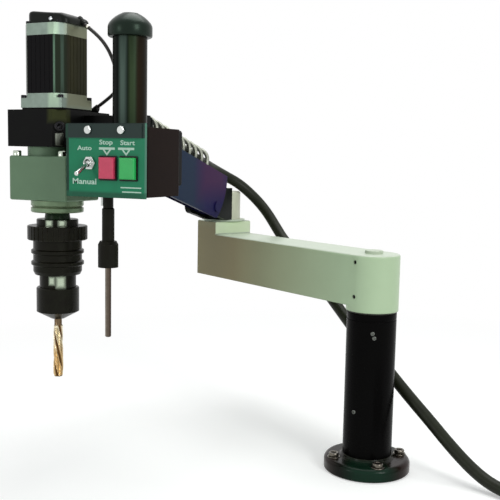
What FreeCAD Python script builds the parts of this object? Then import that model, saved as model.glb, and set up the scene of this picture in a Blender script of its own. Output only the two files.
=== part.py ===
import FreeCAD, Part
import math
import os

from FreeCAD import Matrix, Placement, Rotation, Vector

# Arm tapping machine that bolts to a bench. A black column carries a cast swing arm, the arm's
# raised end block carries a swivel post, and a sprung parallelogram arm reaches back from it to
# the tapping head: motor, gearbox, quick change chuck and tap, with a control box, grip tube and
# depth rod. Millimetres, +Z up, origin on the column's axis at the underside of the base flange.
# The panel faces -Y. The cast arm runs from the column to the swivel post at swing_angle.

# Base flange and column
flange_dia = 105.0
flange_thickness = 16.0
flange_edge_round = 6.0
flange_foot_round = 2.0
foot_fillet = 4.0
bolt_circle_dia = 84.0
bolt_hole_dia = 9.0
bolt_count = 4
bolt_first_angle = -145.0
spot_face_dia = 17.0
spot_face_depth = 1.0
column_dia = 60.0
column_height = 180.0
column_wall = 6.0
column_top_wall = 14.0
column_groove_width = 2.0
column_groove_depth = 0.8
column_groove_drop = 9.0
king_pin_dia = 30.0
king_pin_flange_dia = 46.0
king_pin_flange_thickness = 6.0
king_pin_clearance = 0.05
thrust_washer_thickness = 2.0
thrust_washer_bore_gap = 0.3
column_screw_dia = 5.0
column_screw_head = 2.2
column_screw_recess_share = 0.5
column_screw_length = 5.0
column_screw_places = ((-70.0, 22.0), (-66.0, 27.4), (-108.0, 119.5))

# Cast swing arm
swing_angle = 152.84
arm_reach = 308.0
arm_half_width = 31.6
arm_depth = 61.6
arm_top_wall = 9.0
arm_edge_round = 2.5
hub_drop = 6.5
block_length = 45.4
block_rise = 18.4
block_edge_round = 2.0
hub_bush_dia = 40.0
hub_bush_end_gap = 0.5
cap_dia = 22.0
cap_height = 4.0
cap_edge = 1.2
cap_stem_dia = 12.0
arm_screw_dia = 5.0
arm_screw_length = 12.0
arm_screw_sink = 1.0
arm_screw_drops = (8.8, 50.0)

# Swivel post on the end block
swivel_pin_dia = 22.0
swivel_pin_depth = 58.0
swivel_pin_rise = 20.0
swivel_bush_dia = 32.0
swivel_ring_dia = 61.0
swivel_ring_thickness = 2.5
post_dia = 47.0
post_height = 41.0
post_chamfer = 2.0
ear_thickness = 8.0
ear_gap = 24.6
ear_round = 11.0
ear_root_top = 24.5
saddle_ahead = 8.0
saddle_wrap = 8.0
rear_pin_ahead = 72.5
low_pin_rise = 21.6
pin_spacing = 24.0
pin_dia = 10.0
pin_clearance = 0.05
pin_head_dia = 15.0
pin_head_height = 2.0

# Parallelogram arm
lift_angle = 15.4
link_run = 166.0
plate_below = 14.8
plate_above = 48.7
plate_thickness = 4.0
plate_outer_half = 25.0
plate_rear_low = 5.0
plate_rear_mid = 19.0
plate_rear_top = 19.5
plate_front_low = 8.5
plate_front_top = 11.5
plate_corner = 2.0
plate_left_low = 9.0
web_width = 8.0
web_thickness = 3.0
web_rear_gap = 16.0
web_front_gap = 16.0
shelf_thickness = 3.0
shelf_drop = 8.1
link_rod_dia = 12.0
link_eye_dia = 20.0
link_eye_width = 23.6
open_eye_extra = 0.35

# Balance spring over the cable, along the top of the arm
spring_coil_dia = 28.5
spring_wire_dia = 5.5
spring_quarters = 34
spring_pitch = 17.3
spring_rear = 27.0
spring_axis_rise = 10.4
front_bracket_thickness = 4.0
front_bracket_gap = 1.0
front_bracket_width = 34.0
front_bracket_margin = 4.0
cable_exit_station = 2.0

# Tapping head, measured from the spindle axis
spindle_side = 84.1
spindle_ahead = 45.6
carrier_thickness = 8.0
carrier_gap = 23.0
carrier_top_level = 424.0
carrier_side_level = 407.0
carrier_low_level = 343.0
carrier_flange_thickness = 8.0
carrier_flange_length = 49.0
carrier_corner = 4.0
block_left = 49.0
block_right = 30.0
block_front = 32.0
block_back = 66.0
block_low_level = 385.5
block_top_level = 429.0
block_chamfer = 12.0
block_screw_dia = 12.0
block_screw_length = 12.0
block_screw_rise_share = 0.55
spigot_dia = 54.0
spigot_offset = 10.0
gearbox_left = 47.0
gearbox_right = 38.0
gearbox_front = 32.0
gearbox_back = 33.0
gearbox_low_level = 321.4
gearbox_top_level = 374.6
gearbox_edge = 2.5
gearbox_bolt_dia = 6.0
gearbox_bolt_head = 10.0
gearbox_bolt_rise = 6.0
gearbox_bolt_inset_left = 7.0
gearbox_bolt_inset_right = 11.0

# Motor
motor_side = 60.0
motor_pilot_dia = 50.0
motor_pilot_height = 2.0
motor_flange_low = 11.4
motor_flange_high = 5.4
motor_flange_corner = 1.5
motor_body_height = 66.9
motor_chamfer = 10.5
motor_cap_flange = 13.6
motor_rib_depth = 0.3
motor_rib_width = 0.8
motor_rib_count = 5
motor_screw_circle = 64.0
motor_screw_dia = 3.5
motor_screw_head = 6.5
motor_screw_rise = 3.6
motor_screw_space = 1.5
motor_foot_screw_circle = 77.0
encoder_side = 50.0
encoder_corner = 12.0
encoder_height = 16.6
encoder_chamfer = 3.0
encoder_boot_dia = 18.0
encoder_boot_tip = 7.0
encoder_boot_length = 14.0
gland_length = 9.0
shaft_dia = 14.0

# Spindle, quick change chuck and tap, with levels from the gearbox underside down
bearing_cap_dia = 63.0
bearing_cap_depth = 14.4
bearing_cap_groove = 2.0
bearing_cap_groove_share = 0.46
bearing_cap_edge = 1.0
spindle_nose_dia = 31.0
spindle_nose_depth = 8.3
chuck_neck_ring_dia = 50.0
chuck_neck_ring_depth = 8.0
chuck_ring_dia = 72.0
chuck_ring_depth = 17.2
chuck_ring_knurls = 36
chuck_ring_knurl_depth = 0.8
chuck_body_dia = 58.6
chuck_body_depth = 42.6
chuck_bulge_dia = 63.4
chuck_bulge_width = 7.0
chuck_bulge_share_one = 0.34
chuck_bulge_share_two = 0.67
chuck_body_taper = 4.0
adapter_dia = 44.0
adapter_depth = 16.0
adapter_core_dia = 34.0
collar_dia = 51.5
collar_depth = 30.0
collar_cone_depth = 9.4
collar_mouth_dia = 16.8
collar_gap = 0.1
collar_travel = 8.0
tap_shank_dia = 9.2
tap_shank_depth = 9.5
tap_dia = 12.4
tap_length = 64.0
tap_core_share = 0.62
tap_flutes = 3
tap_flute_turn = 200.0
tap_point_share = 0.12
tap_slices = 12

# Control box, panel, buttons and toggle
box_left = 58.4
box_right = 163.0
box_front = 55.8
box_low_level = 332.0
box_top_level = 407.6
box_wall = 2.0
box_edge = 3.0
panel_thickness = 2.0
panel_low_level = 330.6
panel_top_level = 411.6
panel_right_round = 4.5
panel_strip = 16.5
strip_thickness = 1.2
button_width = 19.4
button_height = 23.4
button_proud = 6.0
button_bezel = 1.6
button_bezel_proud = 1.6
button_gap = 0.25
button_sink = 6.0
button_travel = 4.0
button_edge = 1.5
button_level = 362.9
stop_across = 115.2
start_across = 141.8
toggle_across = 91.0
toggle_level = 368.0
toggle_nut = 13.4
toggle_nut_depth = 3.0
toggle_bush_dia = 10.0
toggle_bush_length = 6.0
toggle_lever_dia = 3.6
toggle_tip_dia = 5.4
toggle_lever_length = 24.0
toggle_tilt = 28.0
toggle_ball_dia = 6.4
toggle_ball_gap = 0.3
toggle_mouth_dia = 8.6
toggle_pivot_proud = 3.2
panel_screw_dia = 9.0
panel_screw_head = 3.0
panel_screw_length = 8.0
panel_screw_level = 404.2
panel_screw_across = (89.5, 132.9)

# Grip tube with its domed cap, and the depth rod under the box
grip_across = 118.2
grip_forward = 21.0
grip_dia = 38.4
grip_wall = 3.0
grip_length = 100.0
grip_cap_dia = 49.6
grip_cap_skirt = 13.5
grip_cap_dome = 12.7
grip_cap_top_dia = 16.0
rod_across = 92.0
rod_forward = 25.0
guide_dia = 14.2
guide_length = 53.0
guide_bore_gap = 0.15
rod_collar_dia = 23.2
rod_collar_length = 30.5
rod_collar_taper = 4.0
rod_collar_taper_dia = 19.0
rod_dia = 7.0
rod_reach = 82.0
rod_tip_round = 1.5
rod_travel = 30.0
pin_screw_dia = 3.6
pin_screw_length = 13.0
pin_screw_gap = 1.2

# Cables, clip and plug
cable_dia = 15.0
motor_cable_dia = 4.2
motor_cable_plan = ((31.0, 7.0), (46.5, 9.0), (60.5, 13.0), (68.0, 19.0), (65.5, 27.0), (56.0, 34.0), (42.5, 39.0), (30.5, 41.5))
motor_cable_height_shares = (0.898, 0.806, 0.682, 0.526, 0.375, 0.25, 0.16, 0.065)
cable_lead = 25.0
clip_wall = 2.0
clip_width = 12.0
clip_gap = 0.2
clip_tab = 14.0
clip_screw_head = 8.0
clip_screw_rise = 2.6
coil_quarters = 8
coil_outer = 107.0
coil_pitch = 16.5
coil_inner_bend = 42.0
coil_inner_turn = 75.0
plug_boot_dia = 18.0
plug_boot_length = 11.0
plug_dia = 26.0
plug_length = 26.0
plug_edge = 3.0
plug_pin_dia = 4.8
plug_pin_length = 15.0
plug_pin_spacing = 13.0
tube_sweep_share = 0.45

# One overrun serves all cuts
cut = 2.0

os.makedirs("parts", exist_ok=True)


# Derived levels and places
flange_top = flange_thickness
column_top = flange_top + column_height
hub_low = column_top + thrust_washer_thickness
arm_low = hub_low + hub_drop
arm_top = arm_low + arm_depth
block_top = arm_top + block_rise
ring_top = block_top + swivel_ring_thickness
arm_length = arm_reach + block_length / 2
elbow_x = arm_reach * math.cos(math.radians(swing_angle))
elbow_y = arm_reach * math.sin(math.radians(swing_angle))
low_pin_level = ring_top + low_pin_rise
high_pin_level = low_pin_level + pin_spacing
lift = math.radians(lift_angle)
link_length = link_run / math.cos(lift)
link_rise = link_run * math.tan(lift)
front_pin_ahead = rear_pin_ahead + link_run
head_x = elbow_x - spindle_side
head_y = elbow_y - front_pin_ahead - spindle_ahead
front_low_level = low_pin_level + link_rise
front_high_level = front_low_level + pin_spacing
plate_inner_half = plate_outer_half - plate_thickness
ear_outer_half = ear_gap / 2 + ear_thickness


def save(name, shape):
    shape.exportStep("parts/" + name + ".step")


def cylinder(dia, height, x=0.0, y=0.0, z=0.0, axis=Vector(0, 0, 1)):
    return Part.makeCylinder(dia / 2, height, Vector(x, y, z), axis)


def cone(low_dia, high_dia, height, x=0.0, y=0.0, z=0.0, axis=Vector(0, 0, 1)):
    return Part.makeCone(low_dia / 2, high_dia / 2, height, Vector(x, y, z), axis)


def block(x0, x1, y0, y1, z0, z1):
    return Part.makeBox(x1 - x0, y1 - y0, z1 - z0, Vector(x0, y0, z0))


def upright_edges(shape, low, high):
    # Straight edges that run the full height between two levels
    found = []
    for edge in shape.Edges:
        levels = sorted(vertex.Z for vertex in edge.Vertexes)
        if len(levels) == 2 and abs(levels[0] - low) < cut / 100 and abs(levels[1] - high) < cut / 100:
            found.append(edge)
    return found


def edges_at(shape, level):
    # Edges that lie flat at one level
    box_edges = []
    for edge in shape.Edges:
        limits = edge.BoundBox
        if abs(limits.ZMin - level) < cut / 100 and abs(limits.ZMax - level) < cut / 100:
            box_edges.append(edge)
    return box_edges


def revolve(points, x=0.0, y=0.0):
    # Turned form from a half outline of radius and level pairs
    corners = [Vector(radius, 0, level) for radius, level in points]
    wire = Part.makePolygon(corners + [corners[0]])
    turned = Part.Face(wire).revolve(Vector(), Vector(0, 0, 1), 360)
    turned.translate(Vector(x, y, 0))
    return turned


def rounded_square(side, corner, height, level):
    half = side / 2
    body = block(-half, half, -half, half, level, level + height)
    return body.makeFillet(corner, upright_edges(body, level, level + height))


def cut_square(side, chamfer, height, level):
    half = side / 2
    body = block(-half, half, -half, half, level, level + height)
    return body.makeChamfer(chamfer, upright_edges(body, level, level + height))


def hexagon(across, height, level):
    corner = across / math.sqrt(3)
    points = [Vector(corner * math.cos(math.radians(a)), corner * math.sin(math.radians(a)), level)
              for a in range(0, 420, 60)]
    return Part.Face(Part.makePolygon(points)).extrude(Vector(0, 0, height))


def socket_screw(shank_dia, head_dia, head_height, shank_length):
    # Head on the plane z = 0, shank below it, hexagon socket in the top
    head = cylinder(head_dia, head_height)
    rim = [edge for edge in edges_at(head, head_height)]
    head = head.makeChamfer(head_height / 12, rim)
    socket = hexagon(shank_dia * 0.8, head_height / 2 + cut, head_height / 2)
    shank = cylinder(shank_dia, shank_length, z=-shank_length)
    return head.fuse(shank).removeSplitter().cut(socket)


def aim(shape, direction, x=0.0, y=0.0, z=0.0):
    # Turn a form made along +Z to a direction and carry it to a place
    turned = shape.copy()
    turned.Placement = Placement(Vector(x, y, z), Rotation(Vector(0, 0, 1), direction)).multiply(turned.Placement)
    return turned


def on_arm(shape):
    # Cast arm's own frame has +X from the column to the swivel post
    placed = shape.copy()
    placed.rotate(Vector(), Vector(0, 0, 1), swing_angle)
    return placed


def at_elbow(shape):
    placed = shape.copy()
    placed.translate(Vector(elbow_x, elbow_y, 0))
    return placed


def at_head(shape):
    placed = shape.copy()
    placed.translate(Vector(head_x, head_y, 0))
    return placed


def along_lift(points, thickness, middle):
    # Plate outline given along and across the lifted arm, standing at x = middle
    corners = [Vector(middle - thickness / 2, *lift_point(s, t)) for s, t in points]
    face = Part.Face(Part.makePolygon(corners + [corners[0]]))
    return face.extrude(Vector(thickness, 0, 0))


def lift_point(s, t):
    # y and z of a point s along and t above the line through the lower pins, elbow frame
    y = -rear_pin_ahead - s * math.cos(lift) + t * math.sin(lift)
    z = low_pin_level + s * math.sin(lift) + t * math.cos(lift)
    return y, z


def unit(vector):
    return vector * (1 / vector.Length)


def arc_edge(start, corner, end):
    # Arc tangent to both legs of a corner whose legs are equally long, or a line where they are in line
    reach = (corner - start).Length
    first = unit(corner - start)
    second = unit(end - corner)
    half = first.getAngle(second) / 2
    if half < 1 / 10000:
        return Part.LineSegment(start, end).toShape()
    radius = reach / math.tan(half)
    inward = unit(second - first)
    middle = corner + inward * (radius / math.cos(half) - radius)
    return Part.Arc(start, middle, end).toShape()


def biarc_edges(start, start_way, end, end_way):
    # Two arcs that leave start along start_way and reach end along end_way
    span = end - start
    ways = start_way + end_way
    k = 2 * (1 - start_way.dot(end_way))
    along = span.dot(ways)
    if k < 1 / 10000:
        leg = span.dot(span) / (4 * span.dot(end_way))
    else:
        leg = (-along + math.sqrt(along * along + k * span.dot(span))) / k
    first = start + start_way * leg
    second = end - end_way * leg
    joint = (first + second) * (1 / 2)
    return [arc_edge(start, first, joint), arc_edge(joint, second, end)]


def sweep(edges, dia, start, way):
    ring = Part.Wire([Part.Circle(start, way, dia / 2).toShape()])
    tube = Part.Wire(edges).makePipeShell([ring], True, False)
    return tube


def route_edges(points, start, end):
    # Straight runs joined by tangent arcs, each as large as its two whole runs allow, from start to end
    edges = []
    radii = []
    here = start
    for before, corner, after in zip(points, points[1:], points[2:]):
        reach = tube_sweep_share * min((corner - before).Length, (after - corner).Length)
        first = corner - unit(corner - before) * reach
        second = corner + unit(after - corner) * reach
        turn = (corner - before).getAngle(after - corner)
        radii.append(round(reach / math.tan(turn / 2), 1))
        edges.append(Part.LineSegment(here, first).toShape())
        edges.append(arc_edge(first, corner, second))
        here = second
    edges.append(Part.LineSegment(here, end).toShape())
    return edges, radii


def route_tube(name, points, dia, start, end):
    edges, radii = route_edges(points, start, end)
    tube = sweep(edges, dia, start, points[1] - points[0])
    length = sum(edge.Length for edge in edges)
    section = math.pi * (dia / 2) ** 2
    print(name, "length", round(length, 1), "volume share", round(tube.Volume / (section * length), 4), "radii", radii)
    return tube


def least_gap(edges, dia, apart):
    # Smallest distance between two stretches of a wound tube that are not neighbours along it
    marks = []
    travelled = 0.0
    for edge in edges:
        count = max(2, int(edge.Length / dia * 3))
        for index in range(count):
            share = index / count
            place = edge.valueAt(edge.FirstParameter + (edge.LastParameter - edge.FirstParameter) * share)
            marks.append((travelled + edge.Length * share, place))
        travelled += edge.Length
    smallest = travelled
    for index, (where, place) in enumerate(marks):
        for other_where, other in marks[index + 1:]:
            if other_where - where > apart:
                smallest = min(smallest, (other - place).Length)
    return smallest - dia


# Base flange: turned disc with four spot faced bolt holes and a fillet ring round the column seat
flange = cylinder(flange_dia, flange_thickness)
flange = flange.makeFillet(flange_edge_round, edges_at(flange, flange_thickness))
flange = flange.makeFillet(flange_foot_round, edges_at(flange, 0))
foot_radius = column_dia / 2
foot_ring = revolve([(0, flange_thickness - flange_edge_round),
                     (foot_radius + foot_fillet, flange_thickness - flange_edge_round),
                     (foot_radius + foot_fillet, flange_thickness),
                     (foot_radius + foot_fillet / 3, flange_thickness + foot_fillet / 3),
                     (foot_radius + foot_fillet / 8, flange_thickness + foot_fillet),
                     (0, flange_thickness + foot_fillet)])
flange = flange.fuse(foot_ring).removeSplitter()
flange = flange.cut(cylinder(column_dia, column_height, z=flange_thickness))
for index in range(bolt_count):
    turn = math.radians(bolt_first_angle + index * 360 / bolt_count)
    bolt_x = bolt_circle_dia / 2 * math.cos(turn)
    bolt_y = bolt_circle_dia / 2 * math.sin(turn)
    flange = flange.cut(cylinder(bolt_hole_dia, flange_thickness + 2 * cut, bolt_x, bolt_y, -cut))
    face_level = flange_thickness - spot_face_depth
    flange = flange.cut(cylinder(spot_face_dia, flange_thickness, bolt_x, bolt_y, face_level))
save("base_flange", flange)

# Column: tube with a thick top wall that carries the king pin, and a groove under the top
column = cylinder(column_dia, column_height, z=flange_top)
column = column.makeChamfer(column_groove_depth, edges_at(column, column_top))
column = column.cut(cylinder(column_dia - 2 * column_wall, column_height - column_top_wall, z=flange_top))
groove_level = column_top - column_groove_drop
groove = cylinder(column_dia + 2 * cut, column_groove_width, z=groove_level)
groove = groove.cut(cylinder(column_dia - 2 * column_groove_depth, column_groove_width, z=groove_level))
column = column.cut(groove)
column = column.cut(cylinder(king_pin_dia, column_top_wall + 2 * cut, z=column_top - column_top_wall - cut))

# Column screws: low pan heads with a driver recess, in drilled holes of the tube
column_screws = []
for screw_angle, screw_drop in column_screw_places:
    turn = math.radians(screw_angle)
    outward = Vector(math.cos(turn), math.sin(turn), 0)
    head = cylinder(column_screw_dia, column_screw_head)
    head = head.makeFillet(column_screw_head / 3, edges_at(head, column_screw_head))
    recess = column_screw_head * column_screw_recess_share
    head = head.cut(hexagon(column_screw_dia / 2, recess + cut, column_screw_head - recess))
    shank = cylinder(column_screw_dia / 2, column_screw_length, z=-column_screw_length)
    seat = column_dia / 2 - column_screw_head / 2
    level = column_top - screw_drop
    screw = aim(head.fuse(shank), outward, seat * outward.x, seat * outward.y, level)
    hole = cylinder(column_screw_dia, column_wall)
    hole = hole.fuse(cylinder(column_screw_dia / 2, column_screw_length, z=-column_screw_length))
    column = column.cut(aim(hole, outward, seat * outward.x, seat * outward.y, level))
    column_screws.append(screw)
save("column", column)
save("column_screws", Part.makeCompound(column_screws))

# King pin: flanged steel shaft in the column's top wall, up into the arm's hub
king_low = column_top - column_top_wall - king_pin_flange_thickness
king_high = arm_top - arm_top_wall - hub_bush_end_gap
king_pin = cylinder(king_pin_dia, king_high - king_low, z=king_low)
king_pin = king_pin.makeChamfer(king_pin_dia / 30, edges_at(king_pin, king_high))
king_pin = king_pin.fuse(cylinder(king_pin_flange_dia, king_pin_flange_thickness, z=king_low))
save("king_pin", king_pin.removeSplitter())

# Thrust washer between the column and the hub
washer = cylinder(column_dia - 2 * column_groove_depth, thrust_washer_thickness, z=column_top)
washer = washer.cut(cylinder(king_pin_dia + 2 * thrust_washer_bore_gap, column_height, z=column_top - cut))
save("thrust_washer", washer)

# Cast arm: round hub end, flat sides, square end block that stands above the arm
near_left = Vector(0, arm_half_width, arm_low)
far_left = Vector(arm_length, arm_half_width, arm_low)
far_right = Vector(arm_length, -arm_half_width, arm_low)
near_right = Vector(0, -arm_half_width, arm_low)
round_end = Part.Arc(near_right, Vector(-arm_half_width, 0, arm_low), near_left)
sides = [Part.LineSegment(near_left, far_left), Part.LineSegment(far_left, far_right)]
sides = sides + [Part.LineSegment(far_right, near_right), round_end]
beam = Part.Face(Part.Wire([side.toShape() for side in sides])).extrude(Vector(0, 0, arm_depth))
beam = beam.makeFillet(arm_edge_round, edges_at(beam, arm_top))
hub = cylinder(2 * arm_half_width, hub_drop + arm_depth / 2, z=hub_low)
block_start = arm_length - block_length
raised = block(block_start, arm_length, -arm_half_width, arm_half_width, arm_low, block_top)
raised = raised.makeFillet(block_edge_round, edges_at(raised, block_top))
casting = beam.fuse(hub).fuse(raised).removeSplitter()
bush_high = arm_top - arm_top_wall
casting = casting.cut(cylinder(hub_bush_dia, bush_high - hub_low + cut, z=hub_low - cut))
casting = casting.cut(cylinder(cap_stem_dia, arm_top_wall + 2 * cut, z=bush_high - cut))
swivel_low = block_top - swivel_pin_depth
casting = casting.cut(cylinder(swivel_bush_dia, swivel_pin_depth + cut, arm_reach, 0, swivel_low))

# Grub screws in the hub's flat side, two dark dots on its near face
arm_screws = []
for drop in arm_screw_drops:
    level = arm_top - drop
    start = arm_half_width - arm_screw_sink
    inner = hub_bush_dia / 2
    casting = casting.cut(cylinder(arm_screw_dia, arm_half_width, 0, inner, level, Vector(0, 1, 0)))
    screw = cylinder(arm_screw_dia, start - inner, 0, inner, level, Vector(0, 1, 0))
    socket_depth = arm_screw_dia / 2
    socket = aim(hexagon(arm_screw_dia / 2, socket_depth + cut, -socket_depth), Vector(0, 1, 0), 0, start, level)
    bush_space = cylinder(hub_bush_dia, arm_depth, z=arm_low)
    arm_screws.append(screw.cut(socket).cut(bush_space))
save("arm_casting", on_arm(casting))
save("arm_screws", on_arm(Part.makeCompound(arm_screws)))

# Hub bush: bronze sleeve pressed in the hub, running on the king pin
hub_bush = cylinder(hub_bush_dia, bush_high - hub_low, z=hub_low)
running_dia = king_pin_dia + 2 * king_pin_clearance
save("hub_bush", hub_bush.cut(cylinder(running_dia, bush_high, z=hub_low - cut)))

# Hub cap: low domed button with a stem in the hub's top wall
hub_cap = cylinder(cap_dia, cap_height, z=arm_top)
hub_cap = hub_cap.makeFillet(cap_edge, edges_at(hub_cap, arm_top + cap_height))
hub_cap = hub_cap.fuse(cylinder(cap_stem_dia, arm_top_wall, z=bush_high))
save("hub_cap", hub_cap.removeSplitter())

# Swivel bush in the end block, and the pin, ring and post that turn in it
swivel_bush = cylinder(swivel_bush_dia, swivel_pin_depth, arm_reach, 0, swivel_low)
running_dia = swivel_pin_dia + 2 * king_pin_clearance
save("elbow_bush", on_arm(swivel_bush.cut(cylinder(running_dia, arm_depth * 2, arm_reach, 0, swivel_low - cut))))
swivel_pin = cylinder(swivel_pin_dia, swivel_pin_depth + swivel_ring_thickness + swivel_pin_rise, z=swivel_low)
save("elbow_pin", at_elbow(swivel_pin.makeChamfer(swivel_pin_dia / 20, edges_at(swivel_pin, swivel_low))))
swivel_ring = cylinder(swivel_ring_dia, swivel_ring_thickness, z=block_top)
swivel_ring = swivel_ring.cut(cylinder(swivel_pin_dia, swivel_ring_thickness + 2 * cut, z=block_top - cut))
save("elbow_thrust_ring", at_elbow(swivel_ring))
post = cylinder(post_dia, post_height, z=ring_top)
post = post.makeChamfer(post_chamfer, edges_at(post, ring_top + post_height))
save("elbow_post", at_elbow(post.cut(cylinder(swivel_pin_dia, swivel_pin_rise + cut, z=ring_top - cut))))


def ear_pair(pin_y, low_level, root_y, root_low, root_high, inner_half, thickness):
    # Two plates with round ends on an upper and a lower pin, widened to a root at root_y
    high_level = low_level + pin_spacing
    outline = [Vector(0, pin_y, low_level - ear_round), Vector(0, root_y, root_low),
               Vector(0, root_y, root_high), Vector(0, pin_y, high_level + ear_round)]
    face = Part.Face(Part.makePolygon(outline + [outline[0]]))
    plates = []
    for side in (-1, 1):
        start = inner_half if side > 0 else -inner_half - thickness
        plate = face.extrude(Vector(thickness, 0, 0))
        plate = plate.fuse(cylinder(2 * ear_round, thickness, 0, pin_y, low_level, Vector(1, 0, 0)))
        plate = plate.fuse(cylinder(2 * ear_round, thickness, 0, pin_y, high_level, Vector(1, 0, 0)))
        outer_y = pin_y - ear_round if pin_y < root_y else pin_y + ear_round
        y_pair = sorted((pin_y, outer_y))
        plate = plate.fuse(block(0, thickness, y_pair[0], y_pair[1], low_level, high_level))
        plate = plate.removeSplitter()
        plate.translate(Vector(start, 0, 0))
        for level in (low_level, high_level):
            bore = cylinder(pin_dia, thickness + 2 * cut, start - cut, pin_y, level, Vector(1, 0, 0))
            plate = plate.cut(bore)
        plates.append(plate)
    return plates


# Yoke: a saddle on the swivel post with two ears for the rear pivot pins
root_y = -post_dia / 2 - saddle_ahead
root_low = ring_top
root_high = low_pin_level + ear_root_top
ears = ear_pair(-rear_pin_ahead, low_pin_level, root_y + cut, root_low, root_high, ear_gap / 2, ear_thickness)
saddle = block(-ear_outer_half, ear_outer_half, root_y, -post_dia / 2 + saddle_wrap, root_low, root_high)
yoke = saddle.fuse(ears[0]).fuse(ears[1])
saddle_space = cylinder(post_dia, root_high - root_low + 2 * cut, z=root_low - cut)
yoke = yoke.cut(saddle_space).removeSplitter()
save("yoke_ears", at_elbow(yoke))


def pivot_pins(pin_y, low_level):
    # A long headed pin below, through the arm's side plates, and a short one above, for the rod
    long_half = plate_outer_half
    long_pin = cylinder(pin_dia, long_half + ear_outer_half, -ear_outer_half, pin_y, low_level, Vector(1, 0, 0))
    for start in (long_half, -ear_outer_half - pin_head_height):
        head = cylinder(pin_head_dia, pin_head_height, start, pin_y, low_level, Vector(1, 0, 0))
        long_pin = long_pin.fuse(head)
    short_pin = cylinder(pin_dia, 2 * ear_outer_half, -ear_outer_half, pin_y, low_level + pin_spacing, Vector(1, 0, 0))
    return Part.makeCompound([long_pin.removeSplitter(), short_pin])


save("rear_pivot_pins", at_elbow(pivot_pins(-rear_pin_ahead, low_pin_level)))
save("front_pivot_pins", at_elbow(pivot_pins(-front_pin_ahead, front_low_level)))

# Lifting arm: two side plates bored for the lower pins, with a bowed rear end
bore_dia = pin_dia + 2 * pin_clearance
rear_bottom = Vector(0, *lift_point(-plate_rear_low, -plate_below))
rear_middle = Vector(0, *lift_point(-plate_rear_mid, plate_below))
rear_top = Vector(0, *lift_point(-plate_rear_top, plate_above))
front_top = Vector(0, *lift_point(link_length + plate_front_top, plate_above))
front_bottom = Vector(0, *lift_point(link_length + plate_front_low, -plate_below))
plate_lines = [Part.Arc(rear_bottom, rear_middle, rear_top), Part.LineSegment(rear_top, front_top)]
plate_lines = plate_lines + [Part.LineSegment(front_top, front_bottom), Part.LineSegment(front_bottom, rear_bottom)]
plate_face = Part.Face(Part.Wire([line.toShape() for line in plate_lines]))
low_outline = [(-link_length, -link_length), (2 * link_length, -link_length), (2 * link_length, plate_left_low),
               (-link_length, plate_left_low)]
left_space = along_lift(low_outline, plate_thickness + cut, plate_thickness / 2 - plate_outer_half)
for name, start in (("arm_plate_right", plate_inner_half), ("arm_plate_left", -plate_outer_half)):
    plate = plate_face.extrude(Vector(plate_thickness, 0, 0))
    corners = [edge for edge in plate.Edges if edge.BoundBox.XLength > plate_thickness / 2
               and edge.BoundBox.YLength < cut / 10 and edge.BoundBox.YMax < -front_pin_ahead + plate_thickness]
    plate = plate.makeFillet(plate_corner, corners)
    plate.translate(Vector(start, 0, 0))
    for pin_y, level in ((-rear_pin_ahead, low_pin_level), (-front_pin_ahead, front_low_level)):
        plate = plate.cut(cylinder(bore_dia, plate_thickness + 2 * cut, start - cut, pin_y, level, Vector(1, 0, 0)))
    if name == "arm_plate_left":
        plate = plate.cut(left_space)
    save(name, at_elbow(plate))


def lift_box(s0, s1, t0, t1, half_width):
    # Bar along the lifted arm, between two stations and two heights over the lower pins
    return along_lift([(s0, t0), (s1, t0), (s1, t1), (s0, t1)], 2 * half_width, 0)


# Arm webs: bottom web between the plates and the shelf that the spring stands on
shelf_top = plate_above - shelf_drop
shelf_low = shelf_top - shelf_thickness
web_end = link_length - web_front_gap
web_outline = [(web_rear_gap, -plate_below), (web_end, -plate_below), (web_end, web_thickness - plate_below),
               (web_rear_gap, web_thickness - plate_below)]
bottom_web = along_lift(web_outline, web_width, plate_inner_half - web_width / 2)
shelf_rear = spring_rear - spring_wire_dia
shelf = lift_box(shelf_rear, link_length + plate_front_top - plate_corner, shelf_low, shelf_top, plate_inner_half)
save("arm_webs", at_elbow(Part.makeCompound([bottom_web, shelf])))

# Balance spring: one wire, wound in quarter turns round the cable, with both ends square on the shelf
spring_axis = plate_above + spring_axis_rise
coil_radius_mid = spring_coil_dia / 2


def spring_place(station, side, height):
    # Point of the spring from its station along the arm, offset to the side and height over the spring's axis
    y, z = lift_point(station, spring_axis + height)
    return Vector(side, y, z)


arm_forward = Vector(0, -math.cos(lift), math.sin(lift))
arm_upward = Vector(0, math.sin(lift), math.cos(lift))
lead = spring_pitch / (math.pi * spring_coil_dia)
spring_edges = []
foot = spring_place(spring_rear, coil_radius_mid, shelf_top - spring_axis)
wire_here = spring_place(spring_rear, coil_radius_mid, 0)
spring_edges.append(Part.LineSegment(foot, wire_here).toShape())
way_here = arm_upward
for quarter in range(1, spring_quarters + 1):
    angle = math.radians(90 * quarter)
    station = spring_rear + spring_pitch * quarter / 4
    place = spring_place(station, coil_radius_mid * math.cos(angle), coil_radius_mid * math.sin(angle))
    around = Vector(-math.sin(angle), 0, 0) + arm_upward * math.cos(angle)
    way = around if quarter == spring_quarters else unit(around + arm_forward * lead)
    spring_edges.extend(biarc_edges(wire_here, way_here, place, way))
    wire_here = place
    way_here = way
front_foot = wire_here - arm_upward * (spring_axis - shelf_top)
spring_edges.append(Part.LineSegment(wire_here, front_foot).toShape())
balance_spring = sweep(spring_edges, spring_wire_dia, foot, arm_upward)
print("balance_spring gap", round(least_gap(spring_edges, spring_wire_dia, spring_coil_dia * 2), 2))
save("balance_spring", at_elbow(balance_spring))

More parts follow.
